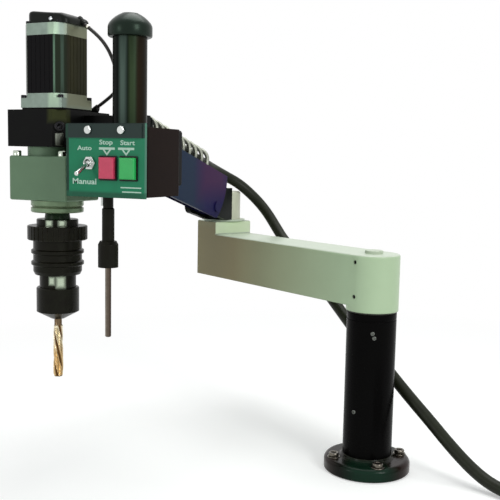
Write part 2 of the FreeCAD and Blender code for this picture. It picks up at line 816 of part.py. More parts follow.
# Front bracket: plate on the shelf that closes the spring and holds the cable's end
bracket_station = spring_rear + spring_pitch * spring_quarters / 4 + spring_wire_dia / 2 + front_bracket_gap
bracket_top = spring_axis + cable_dia / 2 + front_bracket_margin
bracket = lift_box(bracket_station, bracket_station + front_bracket_thickness, shelf_top, bracket_top, front_bracket_width / 2)
bracket = bracket.makeChamfer(front_bracket_margin, [edge for edge in bracket.Edges
                              if edge.BoundBox.XLength < cut / 10 and edge.Length < front_bracket_thickness + cut / 10
                              and edge.CenterOfMass.z > spring_place(bracket_station, 0, 0).z])
save("front_bracket", at_elbow(bracket))
arm_cable_places = [spring_place(bracket_station, 0, 0), spring_place(cable_exit_station, 0, 0)]
arm_cable = Part.makeCylinder(cable_dia / 2, (arm_cable_places[1] - arm_cable_places[0]).Length, arm_cable_places[0], -arm_forward)
save("arm_cable", at_elbow(arm_cable))

# Link rod: upper rod of the parallelogram with an eye at each end, the front eye on a looser bore
rod_eyes = []
for pin_y, level, extra in ((-rear_pin_ahead, high_pin_level, 0), (-front_pin_ahead, front_high_level, open_eye_extra)):
    eye = cylinder(link_eye_dia, link_eye_width, -link_eye_width / 2, pin_y, level, Vector(1, 0, 0))
    eye = eye.makeChamfer(link_rod_dia / 12, [edge for edge in eye.Edges if edge.BoundBox.XLength < cut / 10])
    eye_bore = cylinder(bore_dia + 2 * extra, link_eye_width + 2 * cut, -link_eye_width / 2 - cut, pin_y, level, Vector(1, 0, 0))
    rod_eyes.append((eye, eye_bore))
rod_start = Vector(0, -rear_pin_ahead, high_pin_level)
link_rod = Part.makeCylinder(link_rod_dia / 2, link_length, rod_start, arm_forward)
link_rod = link_rod.fuse(rod_eyes[0][0]).fuse(rod_eyes[1][0]).removeSplitter()
link_rod = link_rod.cut(rod_eyes[0][1]).cut(rod_eyes[1][1])
save("link_rod", at_elbow(link_rod))

# Carrier bracket: cross plate behind the control box, side flange on the head block, two ears
head_pin_u = spindle_side
head_pin_v = spindle_ahead
cross_back = head_pin_v - carrier_gap
cross_front = cross_back - carrier_thickness
cross_plate = block(block_right, box_right - box_wall, cross_front, cross_back, carrier_low_level, carrier_side_level)
cross_plate = cross_plate.makeFillet(carrier_corner, [edge for edge in cross_plate.Edges if edge.Length < carrier_thickness + cut / 10
                                     and edge.BoundBox.YLength > carrier_thickness / 2
                                     and edge.BoundBox.XMin > head_pin_u])
side_flange = block(block_right, block_right + carrier_flange_thickness, cross_back - cut,
                    cross_front + carrier_flange_length, block_low_level, carrier_top_level)
gearbox_space = block(block_right - cut, gearbox_right, cross_front - cut, cross_back + cut, carrier_low_level - cut, block_low_level)
raised_plate = block(block_right, grip_across, cross_front, cross_back, carrier_side_level, carrier_top_level)
carrier = cross_plate.cut(gearbox_space).fuse(raised_plate).fuse(side_flange).removeSplitter()
head_ears = ear_pair(head_pin_v, front_low_level, cross_back - cut, front_low_level - ear_round,
                     front_high_level + ear_round, ear_gap / 2, ear_thickness)
for ear in head_ears:
    placed = ear.copy()
    placed.translate(Vector(head_pin_u, 0, 0))
    carrier = carrier.fuse(placed)
save("carrier_bracket", at_head(carrier.removeSplitter()))

# Head block: plate that carries the motor above and the gearbox below, one corner chamfered
head_block = block(-block_left, block_right, -block_front, block_back, block_low_level, block_top_level)
corner_edges = [edge for edge in upright_edges(head_block, block_low_level, block_top_level)
                if edge.CenterOfMass.x > 0 and edge.CenterOfMass.y < 0]
head_block = head_block.makeChamfer(block_chamfer, corner_edges)
head_block = head_block.makeFillet(plate_corner, [edge for edge in upright_edges(head_block, block_low_level, block_top_level)
                                   if edge.CenterOfMass.x < 0])
corner_way = unit(Vector(1, -1, 0))
corner_place = Vector(block_right - block_chamfer / 2, -block_front + block_chamfer / 2, 0)
screw_level = block_low_level + (block_top_level - block_low_level) * block_screw_rise_share
corner_screw = socket_screw(block_screw_dia / 2, block_screw_dia, block_screw_dia / 3, block_screw_length)
head_block = head_block.cut(aim(cylinder(block_screw_dia / 2, block_screw_length + cut, z=-block_screw_length),
                                corner_way, corner_place.x, corner_place.y, screw_level))
head_block = head_block.cut(cylinder(motor_pilot_dia, motor_pilot_height, z=block_top_level - motor_pilot_height))
head_block = head_block.cut(cylinder(shaft_dia + 2 * cut, block_top_level, z=block_low_level - cut))
head_screws = [aim(corner_screw, corner_way, corner_place.x, corner_place.y, screw_level)]
save("head_block", at_head(head_block))

# Spigot and gearbox under the block, with cap screws in the gearbox's top corners
spigot = cylinder(spigot_dia, block_low_level - gearbox_top_level, -spigot_offset, 0, gearbox_top_level)
spigot = spigot.cut(cylinder(shaft_dia + 2 * cut, block_low_level, z=gearbox_top_level - cut))
save("gearbox_neck", at_head(spigot))
gearbox = block(-gearbox_left, gearbox_right, -gearbox_front, gearbox_back, gearbox_low_level, gearbox_top_level)
gearbox = gearbox.makeFillet(gearbox_edge, upright_edges(gearbox, gearbox_low_level, gearbox_top_level)
                             + edges_at(gearbox, gearbox_top_level) + edges_at(gearbox, gearbox_low_level))
gearbox = gearbox.cut(cylinder(shaft_dia + 2 * king_pin_clearance, gearbox_top_level, z=gearbox_low_level - cut))
for bolt_u in (-gearbox_left + gearbox_bolt_inset_left, gearbox_right - gearbox_bolt_inset_right):
    for bolt_v in (-gearbox_front + gearbox_bolt_inset_left, gearbox_back - gearbox_bolt_inset_left):
        bolt = socket_screw(gearbox_bolt_dia, gearbox_bolt_head, gearbox_bolt_rise, gearbox_bolt_head)
        bolt.translate(Vector(bolt_u, bolt_v, gearbox_top_level))
        head_screws.append(bolt)
        gearbox = gearbox.cut(cylinder(gearbox_bolt_dia, gearbox_bolt_head + cut, bolt_u, bolt_v, gearbox_top_level - gearbox_bolt_head))
save("gearbox", at_head(gearbox))

# Motor: square flange, ribbed body with chamfered corners, end flange and domed encoder cap
pilot = cylinder(motor_pilot_dia, 2 * motor_pilot_height, z=block_top_level - motor_pilot_height)
flange_low = block_top_level + motor_pilot_height
motor_flange = rounded_square(motor_side, motor_flange_corner, motor_flange_low, flange_low)
flange_mid = flange_low + motor_flange_low
motor_flange = motor_flange.fuse(pilot).fuse(cut_square(motor_side, motor_chamfer, motor_flange_high, flange_mid))
body_low = flange_mid + motor_flange_high
motor_body = cut_square(motor_side, motor_chamfer, motor_body_height, body_low)
rib_span = motor_side - 2 * motor_chamfer
rib_step = rib_span / (motor_rib_count + 1)
for rib_index in range(1, motor_rib_count + 1):
    across = -rib_span / 2 + rib_step * rib_index
    for spin in range(0, 360, 90):
        groove = block(across - motor_rib_width / 2, across + motor_rib_width / 2,
                       motor_side / 2 - motor_rib_depth, motor_side / 2 + cut, body_low - cut, body_low + motor_body_height + cut)
        groove.rotate(Vector(), Vector(0, 0, 1), spin)
        motor_body = motor_body.cut(groove)
save("motor_body", at_head(motor_body))
end_low = body_low + motor_body_height
end_flange = cut_square(motor_side, motor_chamfer, motor_cap_flange, end_low)
end_top = end_low + motor_cap_flange
screw_half = motor_screw_circle / 2 / math.sqrt(2)
for screw_u in (-screw_half, screw_half):
    for screw_v in (-screw_half, screw_half):
        bolt = socket_screw(motor_screw_dia, motor_screw_head, motor_screw_rise, motor_cap_flange / 2)
        bolt.translate(Vector(screw_u, screw_v, end_top))
        end_flange = end_flange.cut(cylinder(motor_screw_dia, motor_cap_flange, screw_u, screw_v, end_top - motor_cap_flange / 2))
        head_screws.append(bolt)
motor_flange = motor_flange.removeSplitter()
foot_half = motor_foot_screw_circle / 2 / math.sqrt(2)
for screw_u in (-foot_half, foot_half):
    for screw_v in (-foot_half, foot_half):
        bolt = socket_screw(motor_screw_dia, motor_screw_head, motor_screw_rise, motor_flange_low / 2)
        bolt.translate(Vector(screw_u, screw_v, flange_mid))
        motor_flange = motor_flange.cut(cylinder(motor_screw_dia, motor_flange_low, screw_u, screw_v, flange_mid - motor_flange_low / 2))
        head_screws.append(bolt)
save("motor_flange", at_head(motor_flange))
save("head_screws", at_head(Part.makeCompound(head_screws)))
encoder = rounded_square(encoder_side, encoder_corner, encoder_height, end_top)
encoder = encoder.makeChamfer(encoder_chamfer, edges_at(encoder, end_top + encoder_height))
for screw_u in (-screw_half, screw_half):
    for screw_v in (-screw_half, screw_half):
        space = cylinder(motor_screw_head + motor_screw_space, encoder_height + 2 * cut, screw_u, screw_v, end_top - cut)
        encoder = encoder.cut(space)
save("motor_end_flange", at_head(end_flange))

# Cable boot on the encoder cap's side, and the thin motor cable that loops down to the block
encoder_top = end_top + encoder_height
motor_cable_points = []
for plan, share in zip(motor_cable_plan, motor_cable_height_shares):
    level = block_top_level + (encoder_top - block_top_level) * share
    motor_cable_points.append(Vector(*plan, level))
print("motor cable points", [tuple(round(value, 3) for value in point) for point in motor_cable_points])
cable_start = motor_cable_points[0]
start_way = unit(motor_cable_points[1] - cable_start)
boot_form = cone(encoder_boot_dia, encoder_boot_tip, encoder_boot_length, z=-encoder_boot_length)
boot = aim(boot_form, start_way, cable_start.x, cable_start.y, cable_start.z)
boot_low = end_top + encoder_chamfer
boot_space = block(encoder_side / 2, encoder_side, -encoder_side, encoder_side, boot_low, encoder_top - encoder_chamfer / 2)
encoder = encoder.fuse(boot.common(boot_space)).removeSplitter()
save("encoder_cap", at_head(encoder))
cable_end = motor_cable_points[-1]
motor_cable = route_tube("motor_cable", motor_cable_points, motor_cable_dia, cable_start, cable_end)
save("motor_cable", at_head(motor_cable))
end_way = unit(cable_end - motor_cable_points[-2])
gland_form = cone(motor_cable_dia * 1.5, motor_cable_dia * 2.5, gland_length)
gland_form = gland_form.fuse(cylinder(motor_cable_dia * 2.5, gland_length, z=gland_length)).removeSplitter()
block_gland = aim(gland_form, end_way, cable_end.x, cable_end.y, cable_end.z)
block_gland = block_gland.cut(block(-block_left, block_right, -block_front, block_back, block_low_level, block_top_level))
block_gland = block_gland.common(block(-block_left, block_right, -block_front, block_back, block_top_level, end_low))
save("block_gland", at_head(block_gland))

# Bearing cap: stepped round cover under the gearbox, bored for the spindle
cap_top = gearbox_low_level
cap_low = cap_top - bearing_cap_depth
cap_radius = bearing_cap_dia / 2
groove_level = cap_low + bearing_cap_depth * bearing_cap_groove_share
bearing_cap = revolve([(0, cap_top), (cap_radius, cap_top), (cap_radius, groove_level + bearing_cap_groove),
                       (cap_radius - bearing_cap_groove, groove_level), (cap_radius, groove_level - bearing_cap_groove / 2),
                       (cap_radius, cap_low + bearing_cap_edge), (cap_radius - bearing_cap_edge, cap_low), (0, cap_low)])
bearing_cap = bearing_cap.cut(cylinder(shaft_dia + 2 * king_pin_clearance, cap_top, z=cap_low - cut))
save("bearing_cap", at_head(bearing_cap))

# Spindle: shaft up into the gearbox with a tapered nose that carries the chuck
nose_top = cap_low - clip_gap * 4
nose_low = cap_low - spindle_nose_depth
nose_radius = spindle_nose_dia / 2
shaft_top = gearbox_low_level + (gearbox_top_level - gearbox_low_level) / 2
chuck_top = nose_low
ring_low = chuck_top - chuck_neck_ring_depth
big_low = ring_low - chuck_ring_depth
body_low_level = big_low - chuck_body_depth
adapter_low = body_low_level - adapter_depth
inner_low = adapter_low - collar_depth / 2
core = adapter_core_dia / 2
spindle = revolve([(0, shaft_top), (shaft_dia / 2, shaft_top), (shaft_dia / 2, nose_top), (nose_radius - shaft_dia / 14, nose_top),
                   (nose_radius, nose_low), (core / 2, nose_low), (core / 2, big_low), (0, big_low)])
save("spindle_shaft", at_head(spindle))

# Chuck rings: knurled clutch ring with a plain ring above it
big_radius = chuck_ring_dia / 2
neck_radius = chuck_neck_ring_dia / 2
edge = chuck_ring_knurl_depth
rings = revolve([(core / 2, chuck_top), (neck_radius - edge, chuck_top), (neck_radius, chuck_top - edge), (neck_radius, ring_low),
                 (big_radius - edge, ring_low), (big_radius, ring_low - edge), (big_radius, big_low + edge),
                 (big_radius - edge, big_low), (core / 2, big_low)])
notch_half = math.pi * big_radius / chuck_ring_knurls / 4
for index in range(chuck_ring_knurls):
    notch = block(big_radius - edge, big_radius + cut, -notch_half, notch_half, big_low - cut, ring_low + cut)
    notch.rotate(Vector(), Vector(0, 0, 1), 360 * index / chuck_ring_knurls)
    rings = rings.cut(notch)
save("chuck_rings", at_head(rings))

# Chuck body: turned barrel with two rounded beads, and the adapter that the release collar slides on
barrel = chuck_body_dia / 2
bead = (chuck_bulge_dia - chuck_body_dia) / 2
adapter_radius = adapter_dia / 2
outline_points = [(0, big_low), (barrel, big_low)]
for share in (chuck_bulge_share_one, chuck_bulge_share_two):
    middle = big_low - chuck_body_depth * share
    half = chuck_bulge_width / 2
    outline_points.extend([(barrel, middle + half), (barrel + bead, middle + half / 2), (barrel + bead, middle - half / 2),
                           (barrel, middle - half)])
outline_points.extend([(barrel, body_low_level + chuck_body_taper), (barrel - chuck_body_taper / 2, body_low_level),
                       (adapter_radius, body_low_level), (adapter_radius, inner_low), (0, inner_low)])
chuck_body = revolve(outline_points)
tap_socket = tap_shank_dia
chuck_body = chuck_body.cut(cylinder(tap_socket, collar_depth / 3 + cut, z=inner_low - cut))
save("chuck_body", at_head(chuck_body))

# Release collar: sleeve that slides up over the adapter, with a cone down to the tap
collar_radius = collar_dia / 2
collar_low = adapter_low - collar_depth
mouth_level = collar_low - collar_cone_depth
slide_radius = adapter_radius + collar_gap / 2
floor_level = inner_low - collar_travel - cut
mouth = collar_mouth_dia / 2
wall = collar_radius - slide_radius
collar = revolve([(slide_radius, adapter_low), (collar_radius - wall / 3, adapter_low), (collar_radius, adapter_low - wall / 3),
                  (collar_radius, collar_low), (mouth, mouth_level), (mouth - wall / 2, mouth_level), (mouth - wall / 2, floor_level),
                  (slide_radius, floor_level)])
save("release_collar", at_head(collar))

# Tap: round shank, then a fluted length with three twisted grooves and a tapered point
tap_top = inner_low - cut + collar_depth / 3
tap_shoulder = mouth_level - tap_shank_depth
tap_low = tap_shoulder - tap_length
point_top = tap_low + tap_length * tap_point_share
tap_radius = tap_dia / 2
tap_core = tap_radius * tap_core_share
land_edge = tap_radius - tap_core
shank = cylinder(tap_shank_dia, tap_top - tap_shoulder, z=tap_shoulder)


def tap_section(level, outer, turn):
    # Three lands with arcs for their tops and hollow flutes between them, as one closed wire
    pieces = []
    sector = 360 / tap_flutes
    for land in range(tap_flutes):
        start = math.radians(turn + land * sector)
        angles = [start + math.radians(sector) * share for share in (0, 1 / 4, 1 / 2, 3 / 4, 1)]
        spots = [Vector(outer * math.cos(a), outer * math.sin(a), level) for a in angles]
        dip = Vector(tap_core * math.cos(angles[3]), tap_core * math.sin(angles[3]), level)
        pieces.append(Part.Arc(spots[0], spots[1], spots[2]).toShape())
        pieces.append(Part.Arc(spots[2], dip, spots[4]).toShape())
    return Part.Wire(pieces)


fluted_sections = []
for index in range(tap_slices + 1):
    share = index / tap_slices
    level = tap_shoulder - (tap_shoulder - tap_low) * share
    narrowing = max(0, (point_top - level) / (point_top - tap_low)) * land_edge * 2 / 3
    fluted_sections.append(tap_section(level, tap_radius - narrowing, tap_flute_turn * share))
fluted = Part.makeLoft(fluted_sections, True, False)
print("tap loft valid", fluted.isValid(), round(fluted.Volume, 1))
save("tap", at_head(shank.fuse(fluted)))

# Control box: formed cover, with pockets for the buttons and the toggle's back
box_back = cross_front
control_box = block(box_left, box_right, -box_front, box_back, box_low_level, box_top_level)
control_box = control_box.makeFillet(box_edge, upright_edges(control_box, box_low_level, box_top_level))
panel_front = -box_front - panel_thickness
button_spots = ((stop_across, "stop_button"), (start_across, "start_button"))
pocket_back = panel_front + button_sink + button_travel + cut
pocket_width = button_width + 2 * button_gap
pocket_height = button_height + 2 * button_gap
panel = block(box_left, box_right, panel_front, -box_front, panel_low_level, panel_top_level)
panel_round_edges = [edge for edge in panel.Edges if edge.BoundBox.ZLength > panel_thickness
                     and edge.CenterOfMass.x > box_left + panel_thickness and edge.CenterOfMass.y < -box_front - panel_thickness / 2]
panel = panel.makeChamfer(panel_thickness * 3 / 4, panel_round_edges)
strip = block(box_left, box_right - panel_right_round, panel_front - strip_thickness, panel_front + cut / 2,
              panel_top_level - panel_strip, panel_top_level - box_edge / 3)
panel = panel.fuse(strip).removeSplitter()
for across, name in button_spots:
    pocket_front = panel_front - button_proud
    pocket = block(across - pocket_width / 2, across + pocket_width / 2, pocket_front, pocket_back,
                   button_level - pocket_height / 2, button_level + pocket_height / 2)
    control_box = control_box.cut(pocket)
    bezel = block(across - pocket_width / 2 - button_bezel, across + pocket_width / 2 + button_bezel,
                  panel_front - button_bezel_proud, panel_front, button_level - pocket_height / 2 - button_bezel,
                  button_level + pocket_height / 2 + button_bezel)
    bezel_edges = [edge for edge in bezel.Edges if edge.BoundBox.YLength > button_bezel_proud - cut / 10]
    bezel = bezel.makeFillet(button_edge, bezel_edges)
    panel = panel.fuse(bezel).cut(pocket)
    cap = block(across - button_width / 2, across + button_width / 2, panel_front - button_proud, panel_front + button_sink,
                button_level - button_height / 2, button_level + button_height / 2)
    front_edges = [edge for edge in cap.Edges if edge.BoundBox.YMax < panel_front - button_proud + cut / 10]
    cap = cap.makeFillet(button_edge, front_edges)
    save(name, at_head(cap))

# Toggle switch: hexagon nut and bush on the panel, and a ball lever that points down at rest
forward = Vector(0, -1, 0)
nut = aim(hexagon(toggle_nut, toggle_nut_depth, 0), forward, toggle_across, panel_front, toggle_level)
bush_back = toggle_bush_length
bush = cylinder(toggle_bush_dia, toggle_bush_length + bush_back, toggle_across, panel_front + bush_back, toggle_level, forward)
pivot_y = panel_front - toggle_pivot_proud
ball_space_dia = toggle_ball_dia + 2 * toggle_ball_gap
ball_space = cylinder(ball_space_dia, bush_back, toggle_across, panel_front + bush_back / 3, toggle_level, forward)
mouth_length = toggle_bush_length - toggle_pivot_proud
mouth_form = cone(ball_space_dia, toggle_mouth_dia, mouth_length, toggle_across, pivot_y, toggle_level, forward)
switch = nut.fuse(bush).removeSplitter().cut(ball_space).cut(mouth_form)
save("toggle_nut", at_head(switch))
bush_space = cylinder(toggle_bush_dia, bush_back + cut, toggle_across, panel_front + bush_back, toggle_level, forward)
panel = panel.cut(bush_space)
control_box = control_box.cut(bush_space)
lever_way = Vector(0, -math.cos(math.radians(toggle_tilt)), -math.sin(math.radians(toggle_tilt)))
pivot = Vector(toggle_across, pivot_y, toggle_level)
lever = Part.makeCone(toggle_lever_dia / 2, toggle_tip_dia / 2, toggle_lever_length, pivot, lever_way)
lever = lever.fuse(Part.makeSphere(toggle_tip_dia / 2, pivot + lever_way * toggle_lever_length))
lever = lever.fuse(Part.makeSphere(toggle_ball_dia / 2, pivot))
save("toggle_lever", at_head(lever))

# Panel screws in the panel's top strip, and the small pin beside the depth rod's guide
box_screws = []
screw_seat = panel_front - strip_thickness
for across in panel_screw_across:
    screw = cylinder(panel_screw_dia, panel_screw_head)
    screw = screw.makeFillet(panel_screw_head / 3, edges_at(screw, panel_screw_head))
    screw = screw.fuse(cylinder(panel_screw_dia / 2, panel_screw_length, z=-panel_screw_length)).removeSplitter()
    box_screws.append(aim(screw, forward, across, screw_seat, panel_screw_level))
    hole = cylinder(panel_screw_dia / 2, panel_screw_length + cut, across, screw_seat + panel_screw_length, panel_screw_level, forward)
    panel = panel.cut(hole)
    control_box = control_box.cut(hole)
save("control_panel", at_head(panel))

# Grip tube on the box and its domed cap
grip_x = grip_across
grip_y = -grip_forward
grip = cylinder(grip_dia, grip_length, grip_x, grip_y, box_top_level)
grip = grip.cut(cylinder(grip_dia - 2 * grip_wall, grip_length + cut, grip_x, grip_y, box_top_level + grip_wall))
save("handle_tube", at_head(grip))
grip_top = box_top_level + grip_length
cap_half = grip_cap_dia / 2
cap_points = [(0, grip_top), (cap_half - grip_wall / 3, grip_top), (cap_half, grip_top + grip_wall / 3),
              (cap_half, grip_top + grip_cap_skirt)]
dome_steps = (1 / 3, 2 / 3, 1)
for share in dome_steps:
    angle = math.radians(90 * share)
    flat = grip_cap_top_dia / 2
    cap_points.append((flat + (cap_half - flat) * math.cos(angle), grip_top + grip_cap_skirt + grip_cap_dome * math.sin(angle)))
cap_points.append((0, grip_top + grip_cap_skirt + grip_cap_dome))
save("handle_cap", at_head(revolve(cap_points, grip_x, grip_y)))

# Depth rod: guide under the box, collar on the guide's end, rod sliding through both
rod_x = rod_across
rod_y = -rod_forward
guide_bore = rod_dia + 2 * guide_bore_gap
guide_radius = guide_dia / 2
guide_low = box_low_level - guide_length
neck_low = box_low_level - pin_screw_length - cut
spigot_radius = guide_bore / 2 + pin_screw_dia / 2
collar_top = guide_low
rod_collar_low = collar_top - rod_collar_length
spigot_low = collar_top - rod_collar_length / 2
guide = revolve([(0, box_low_level), (guide_radius - pin_screw_gap, box_low_level), (guide_radius - pin_screw_gap, neck_low),
                 (guide_radius, neck_low - pin_screw_gap), (guide_radius, guide_low), (spigot_radius, guide_low),
                 (spigot_radius, spigot_low), (0, spigot_low)], rod_x, rod_y)
guide = guide.cut(cylinder(guide_bore, box_top_level, rod_x, rod_y, spigot_low - cut))
save("rod_guide", at_head(guide))
rod_collar = revolve([(0, collar_top), (rod_collar_taper_dia / 2, collar_top),
                      (rod_collar_dia / 2, collar_top - rod_collar_taper), (rod_collar_dia / 2, rod_collar_low),
                      (0, rod_collar_low)], rod_x, rod_y)
rod_collar = rod_collar.cut(cylinder(2 * spigot_radius, rod_collar_length, rod_x, rod_y, spigot_low))
rod_collar = rod_collar.cut(cylinder(guide_bore, box_top_level, rod_x, rod_y, rod_collar_low - cut))
save("rod_collar", at_head(rod_collar))
rod_low = rod_collar_low - rod_reach
rod_hidden = guide_length + rod_collar_length - rod_travel - cut
rod = cylinder(rod_dia, rod_reach + rod_hidden, rod_x, rod_y, rod_low)
rod = rod.makeFillet(rod_tip_round, edges_at(rod, rod_low))
save("depth_rod", at_head(rod))
pin_x = rod_x - guide_radius + pin_screw_gap - pin_screw_dia / 2 - clip_gap
box_screws.append(cylinder(pin_screw_dia, pin_screw_length, pin_x, rod_y, box_low_level - pin_screw_length))
save("panel_screws", at_head(Part.makeCompound(box_screws)))
save("control_box", at_head(control_box))

# Cable from the arm over the post, down behind the cast arm to the floor, parted in the middle of runs
cable_exit = arm_cable_places[1] + Vector(elbow_x, elbow_y, 0)
cable_rest = ((-266.6, 130.6, 349.5), (-251.6, 146.7, 338.3), (-227.8, 157.3, 318.5), (-206.9, 155.1, 301.0),
              (-186.5, 146.9, 283.5), (-168.1, 136.8, 265.5), (-112.3, 107.6, 214.5), (-76.5, 87.6, 184.0),
              (-55.0, 75.0, 166.0), (-33.4, 63.2, 148.2), (-12.0, 52.5, 131.5), (7.2, 45.4, 117.0),
              (23.2, 39.6, 102.9), (44.9, 31.6, 84.6), (71.6, 20.8, 64.0), (97.2, 9.9, 43.3),
              (122.0, -0.5, 25.5), (146.0, -10.3, 12.8), (171.5, -20.0, 7.5), (204.0, -31.0, 7.5),
              (240.0, -43.5, 7.5), (278.0, -56.0, 7.5))
cable_points = [cable_exit, cable_exit - arm_forward * cable_lead] + [Vector(*place) for place in cable_rest]
post_runs = 3
elbow_runs = 4
hub_runs = 2


def run_middle(index):
    return (cable_points[index] + cable_points[index + 1]) * (1 / 2)


first = 0
start = cable_points[0]
for name, runs in (("post_cable", post_runs), ("elbow_cable", elbow_runs), ("hub_cable", hub_runs)):
    last = first + runs
    save(name, route_tube(name, cable_points[first:last + 2], cable_dia, start, run_middle(last)))
    if name == "elbow_cable":
        clip_run = last
    first = last
    start = run_middle(last)
save("supply_cable", route_tube("supply_cable", cable_points[first:], cable_dia, start, cable_points[-1]))

# Cable clip: a strap round the cable with a screwed tab, on the cast arm's rear face
clip_place = run_middle(clip_run)
rear = Vector(math.sin(math.radians(swing_angle)), -math.cos(math.radians(swing_angle)), 0)
clip_up = unit((cable_points[clip_run + 1] - cable_points[clip_run]).cross(rear))
clip_way = rear.cross(clip_up)
clip_out = rear
clip_radius = cable_dia / 2 + clip_gap
strap_radius = clip_radius + clip_wall
stand_off = clip_place.dot(rear) - arm_half_width
strap = cylinder(2 * strap_radius, clip_width, z=-clip_width / 2)
strap = strap.fuse(block(-stand_off, 0, -strap_radius, strap_radius, -clip_width / 2, clip_width / 2))
tab_end = strap_radius + clip_tab
strap = strap.fuse(block(-stand_off, clip_wall - stand_off, 0, tab_end, -clip_width / 2, clip_width / 2))
clip_screw = cylinder(clip_screw_head, clip_screw_rise, clip_wall - stand_off, tab_end - clip_tab / 2, 0, Vector(1, 0, 0))
strap = strap.fuse(clip_screw).removeSplitter().cut(cylinder(2 * clip_radius, clip_width + 2 * cut, z=-clip_width / 2 - cut))
clip_frame = Matrix(clip_out.x, clip_up.x, clip_way.x, clip_place.x, clip_out.y, clip_up.y, clip_way.y, clip_place.y,
                    clip_out.z, clip_up.z, clip_way.z, clip_place.z, 0, 0, 0, 1)
strap.Placement = Placement(clip_frame)
save("cable_clamp", strap)

# Coil of spare cable on the floor: a flat spiral of quarter turns that winds in to the plug
entry = cable_points[-1]
entry_way = unit(entry - cable_points[-2])
inward = Vector(entry_way.y, -entry_way.x, 0)
coil_start = entry + entry_way * cable_dia
coil_edges = [Part.LineSegment(entry, coil_start).toShape()]
coil_centre = coil_start + inward * coil_outer
wire_here = coil_start
way_here = entry_way
for quarter in range(1, coil_quarters + 1):
    angle = math.radians(90 * quarter)
    radius = coil_outer - coil_pitch * quarter / 4
    outward = entry_way * math.sin(angle) - inward * math.cos(angle)
    around = entry_way * math.cos(angle) + inward * math.sin(angle)
    way = unit(around - outward * (coil_pitch / (2 * math.pi * radius)))
    place = coil_centre + outward * radius
    coil_edges.extend(biarc_edges(wire_here, way_here, place, way))
    wire_here = place
    way_here = way
bend_inward = Vector(way_here.y, -way_here.x, 0)
bend_centre = wire_here + bend_inward * coil_inner_bend
bend_way = way_here
rise = plug_dia / 2 - entry.z
for step in (1, 2):
    angle = math.radians(coil_inner_turn * step)
    outward = bend_way * math.sin(angle) - bend_inward * math.cos(angle)
    around = bend_way * math.cos(angle) + bend_inward * math.sin(angle)
    place = bend_centre + outward * coil_inner_bend + Vector(0, 0, rise * step / 2)
    slope = Vector(0, 0, rise / (2 * coil_inner_bend * math.radians(coil_inner_turn)))
    way = unit(around + slope) if step == 1 else around
    coil_edges.extend(biarc_edges(wire_here, way_here, place, way))
    wire_here = place
    way_here = way
coil_end = wire_here + way_here * cable_dia
coil_edges.append(Part.LineSegment(wire_here, coil_end).toShape())
coil = sweep(coil_edges, cable_dia, entry, entry_way)
print("supply_coil length", round(sum(edge.Length for edge in coil_edges), 1), "gap", round(least_gap(coil_edges, cable_dia, coil_outer), 2))
save("supply_coil", coil)

# Plug at the cable's end: moulded body with a tapered boot and two round pins
plug_radius = plug_dia / 2
boot_end = plug_boot_length
body_end = boot_end + plug_length
plug = revolve([(0, 0), (plug_boot_dia / 2, 0), (plug_radius - plug_edge, boot_end), (plug_radius, boot_end + plug_edge),
                (plug_radius, body_end - plug_edge / 3), (plug_radius - plug_edge / 3, body_end), (0, body_end)])
for side in (-1, 1):
    contact = cylinder(plug_pin_dia, plug_pin_length, side * plug_pin_spacing / 2, 0, body_end)
    plug = plug.fuse(contact.makeFillet(plug_pin_dia / 3, edges_at(contact, body_end + plug_pin_length)))
save("supply_plug", aim(plug, way_here, coil_end.x, coil_end.y, coil_end.z))
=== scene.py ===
import math

import bpy
from mathutils import Matrix, Vector


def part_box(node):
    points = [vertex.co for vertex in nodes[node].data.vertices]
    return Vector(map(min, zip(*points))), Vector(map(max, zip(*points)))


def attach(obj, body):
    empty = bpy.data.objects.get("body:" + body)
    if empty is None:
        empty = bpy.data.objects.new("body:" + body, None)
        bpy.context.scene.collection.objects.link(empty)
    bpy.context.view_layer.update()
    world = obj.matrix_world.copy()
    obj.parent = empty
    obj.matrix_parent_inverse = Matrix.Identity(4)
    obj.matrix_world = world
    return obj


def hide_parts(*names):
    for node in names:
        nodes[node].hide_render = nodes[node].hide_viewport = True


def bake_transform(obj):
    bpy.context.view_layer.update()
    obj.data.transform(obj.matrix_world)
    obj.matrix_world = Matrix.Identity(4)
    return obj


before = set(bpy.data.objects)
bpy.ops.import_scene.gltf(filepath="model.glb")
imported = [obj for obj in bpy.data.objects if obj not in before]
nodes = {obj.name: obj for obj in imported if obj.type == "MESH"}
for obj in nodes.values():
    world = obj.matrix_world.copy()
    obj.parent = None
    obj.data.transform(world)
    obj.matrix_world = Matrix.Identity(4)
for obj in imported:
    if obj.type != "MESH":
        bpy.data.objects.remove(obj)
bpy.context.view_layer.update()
scene = bpy.context.scene
mm = 0.001

# Camera at the photograph's place, a little above the panel and to its right, looking slightly down.
# Its three directions are written as unit vectors and the lens gives the photograph's field of view.
view_right = Vector((0.90434, 0.42636, 0.01983))
view_up = Vector((-0.06483, 0.09129, 0.99371))
view_back = Vector((0.42187, -0.89994, 0.11019))
lens = bpy.data.cameras.new("photo_lens")
lens.sensor_width = 36
lens.lens = 59.52
lens.clip_start = 0.02
lens.clip_end = 60
camera_place = (0.28400, -0.95686, 0.37664)
camera_turn = Matrix((view_right, view_up, view_back)).transposed().to_4x4()
camera = bpy.data.objects.new("photo_camera", lens)
scene.collection.objects.link(camera)
camera.matrix_world = Matrix.Translation(camera_place) @ camera_turn
scene.camera = camera
scene.view_settings.view_transform = "Standard"


# Pale floor and plain studio: a matt white sheet under the part that fades out into a white surround.
# Camera and mirror rays see white, and the lamps and a dim even surround light the part softly.
def linear(colour):
    channels = [int(colour[start:start + 2], 16) / 255 for start in (1, 3, 5)]
    return tuple(c / 12.92 if c <= 0.04045 else ((c + 0.055) / 1.055) ** 2.4 for c in channels) + (1.0,)


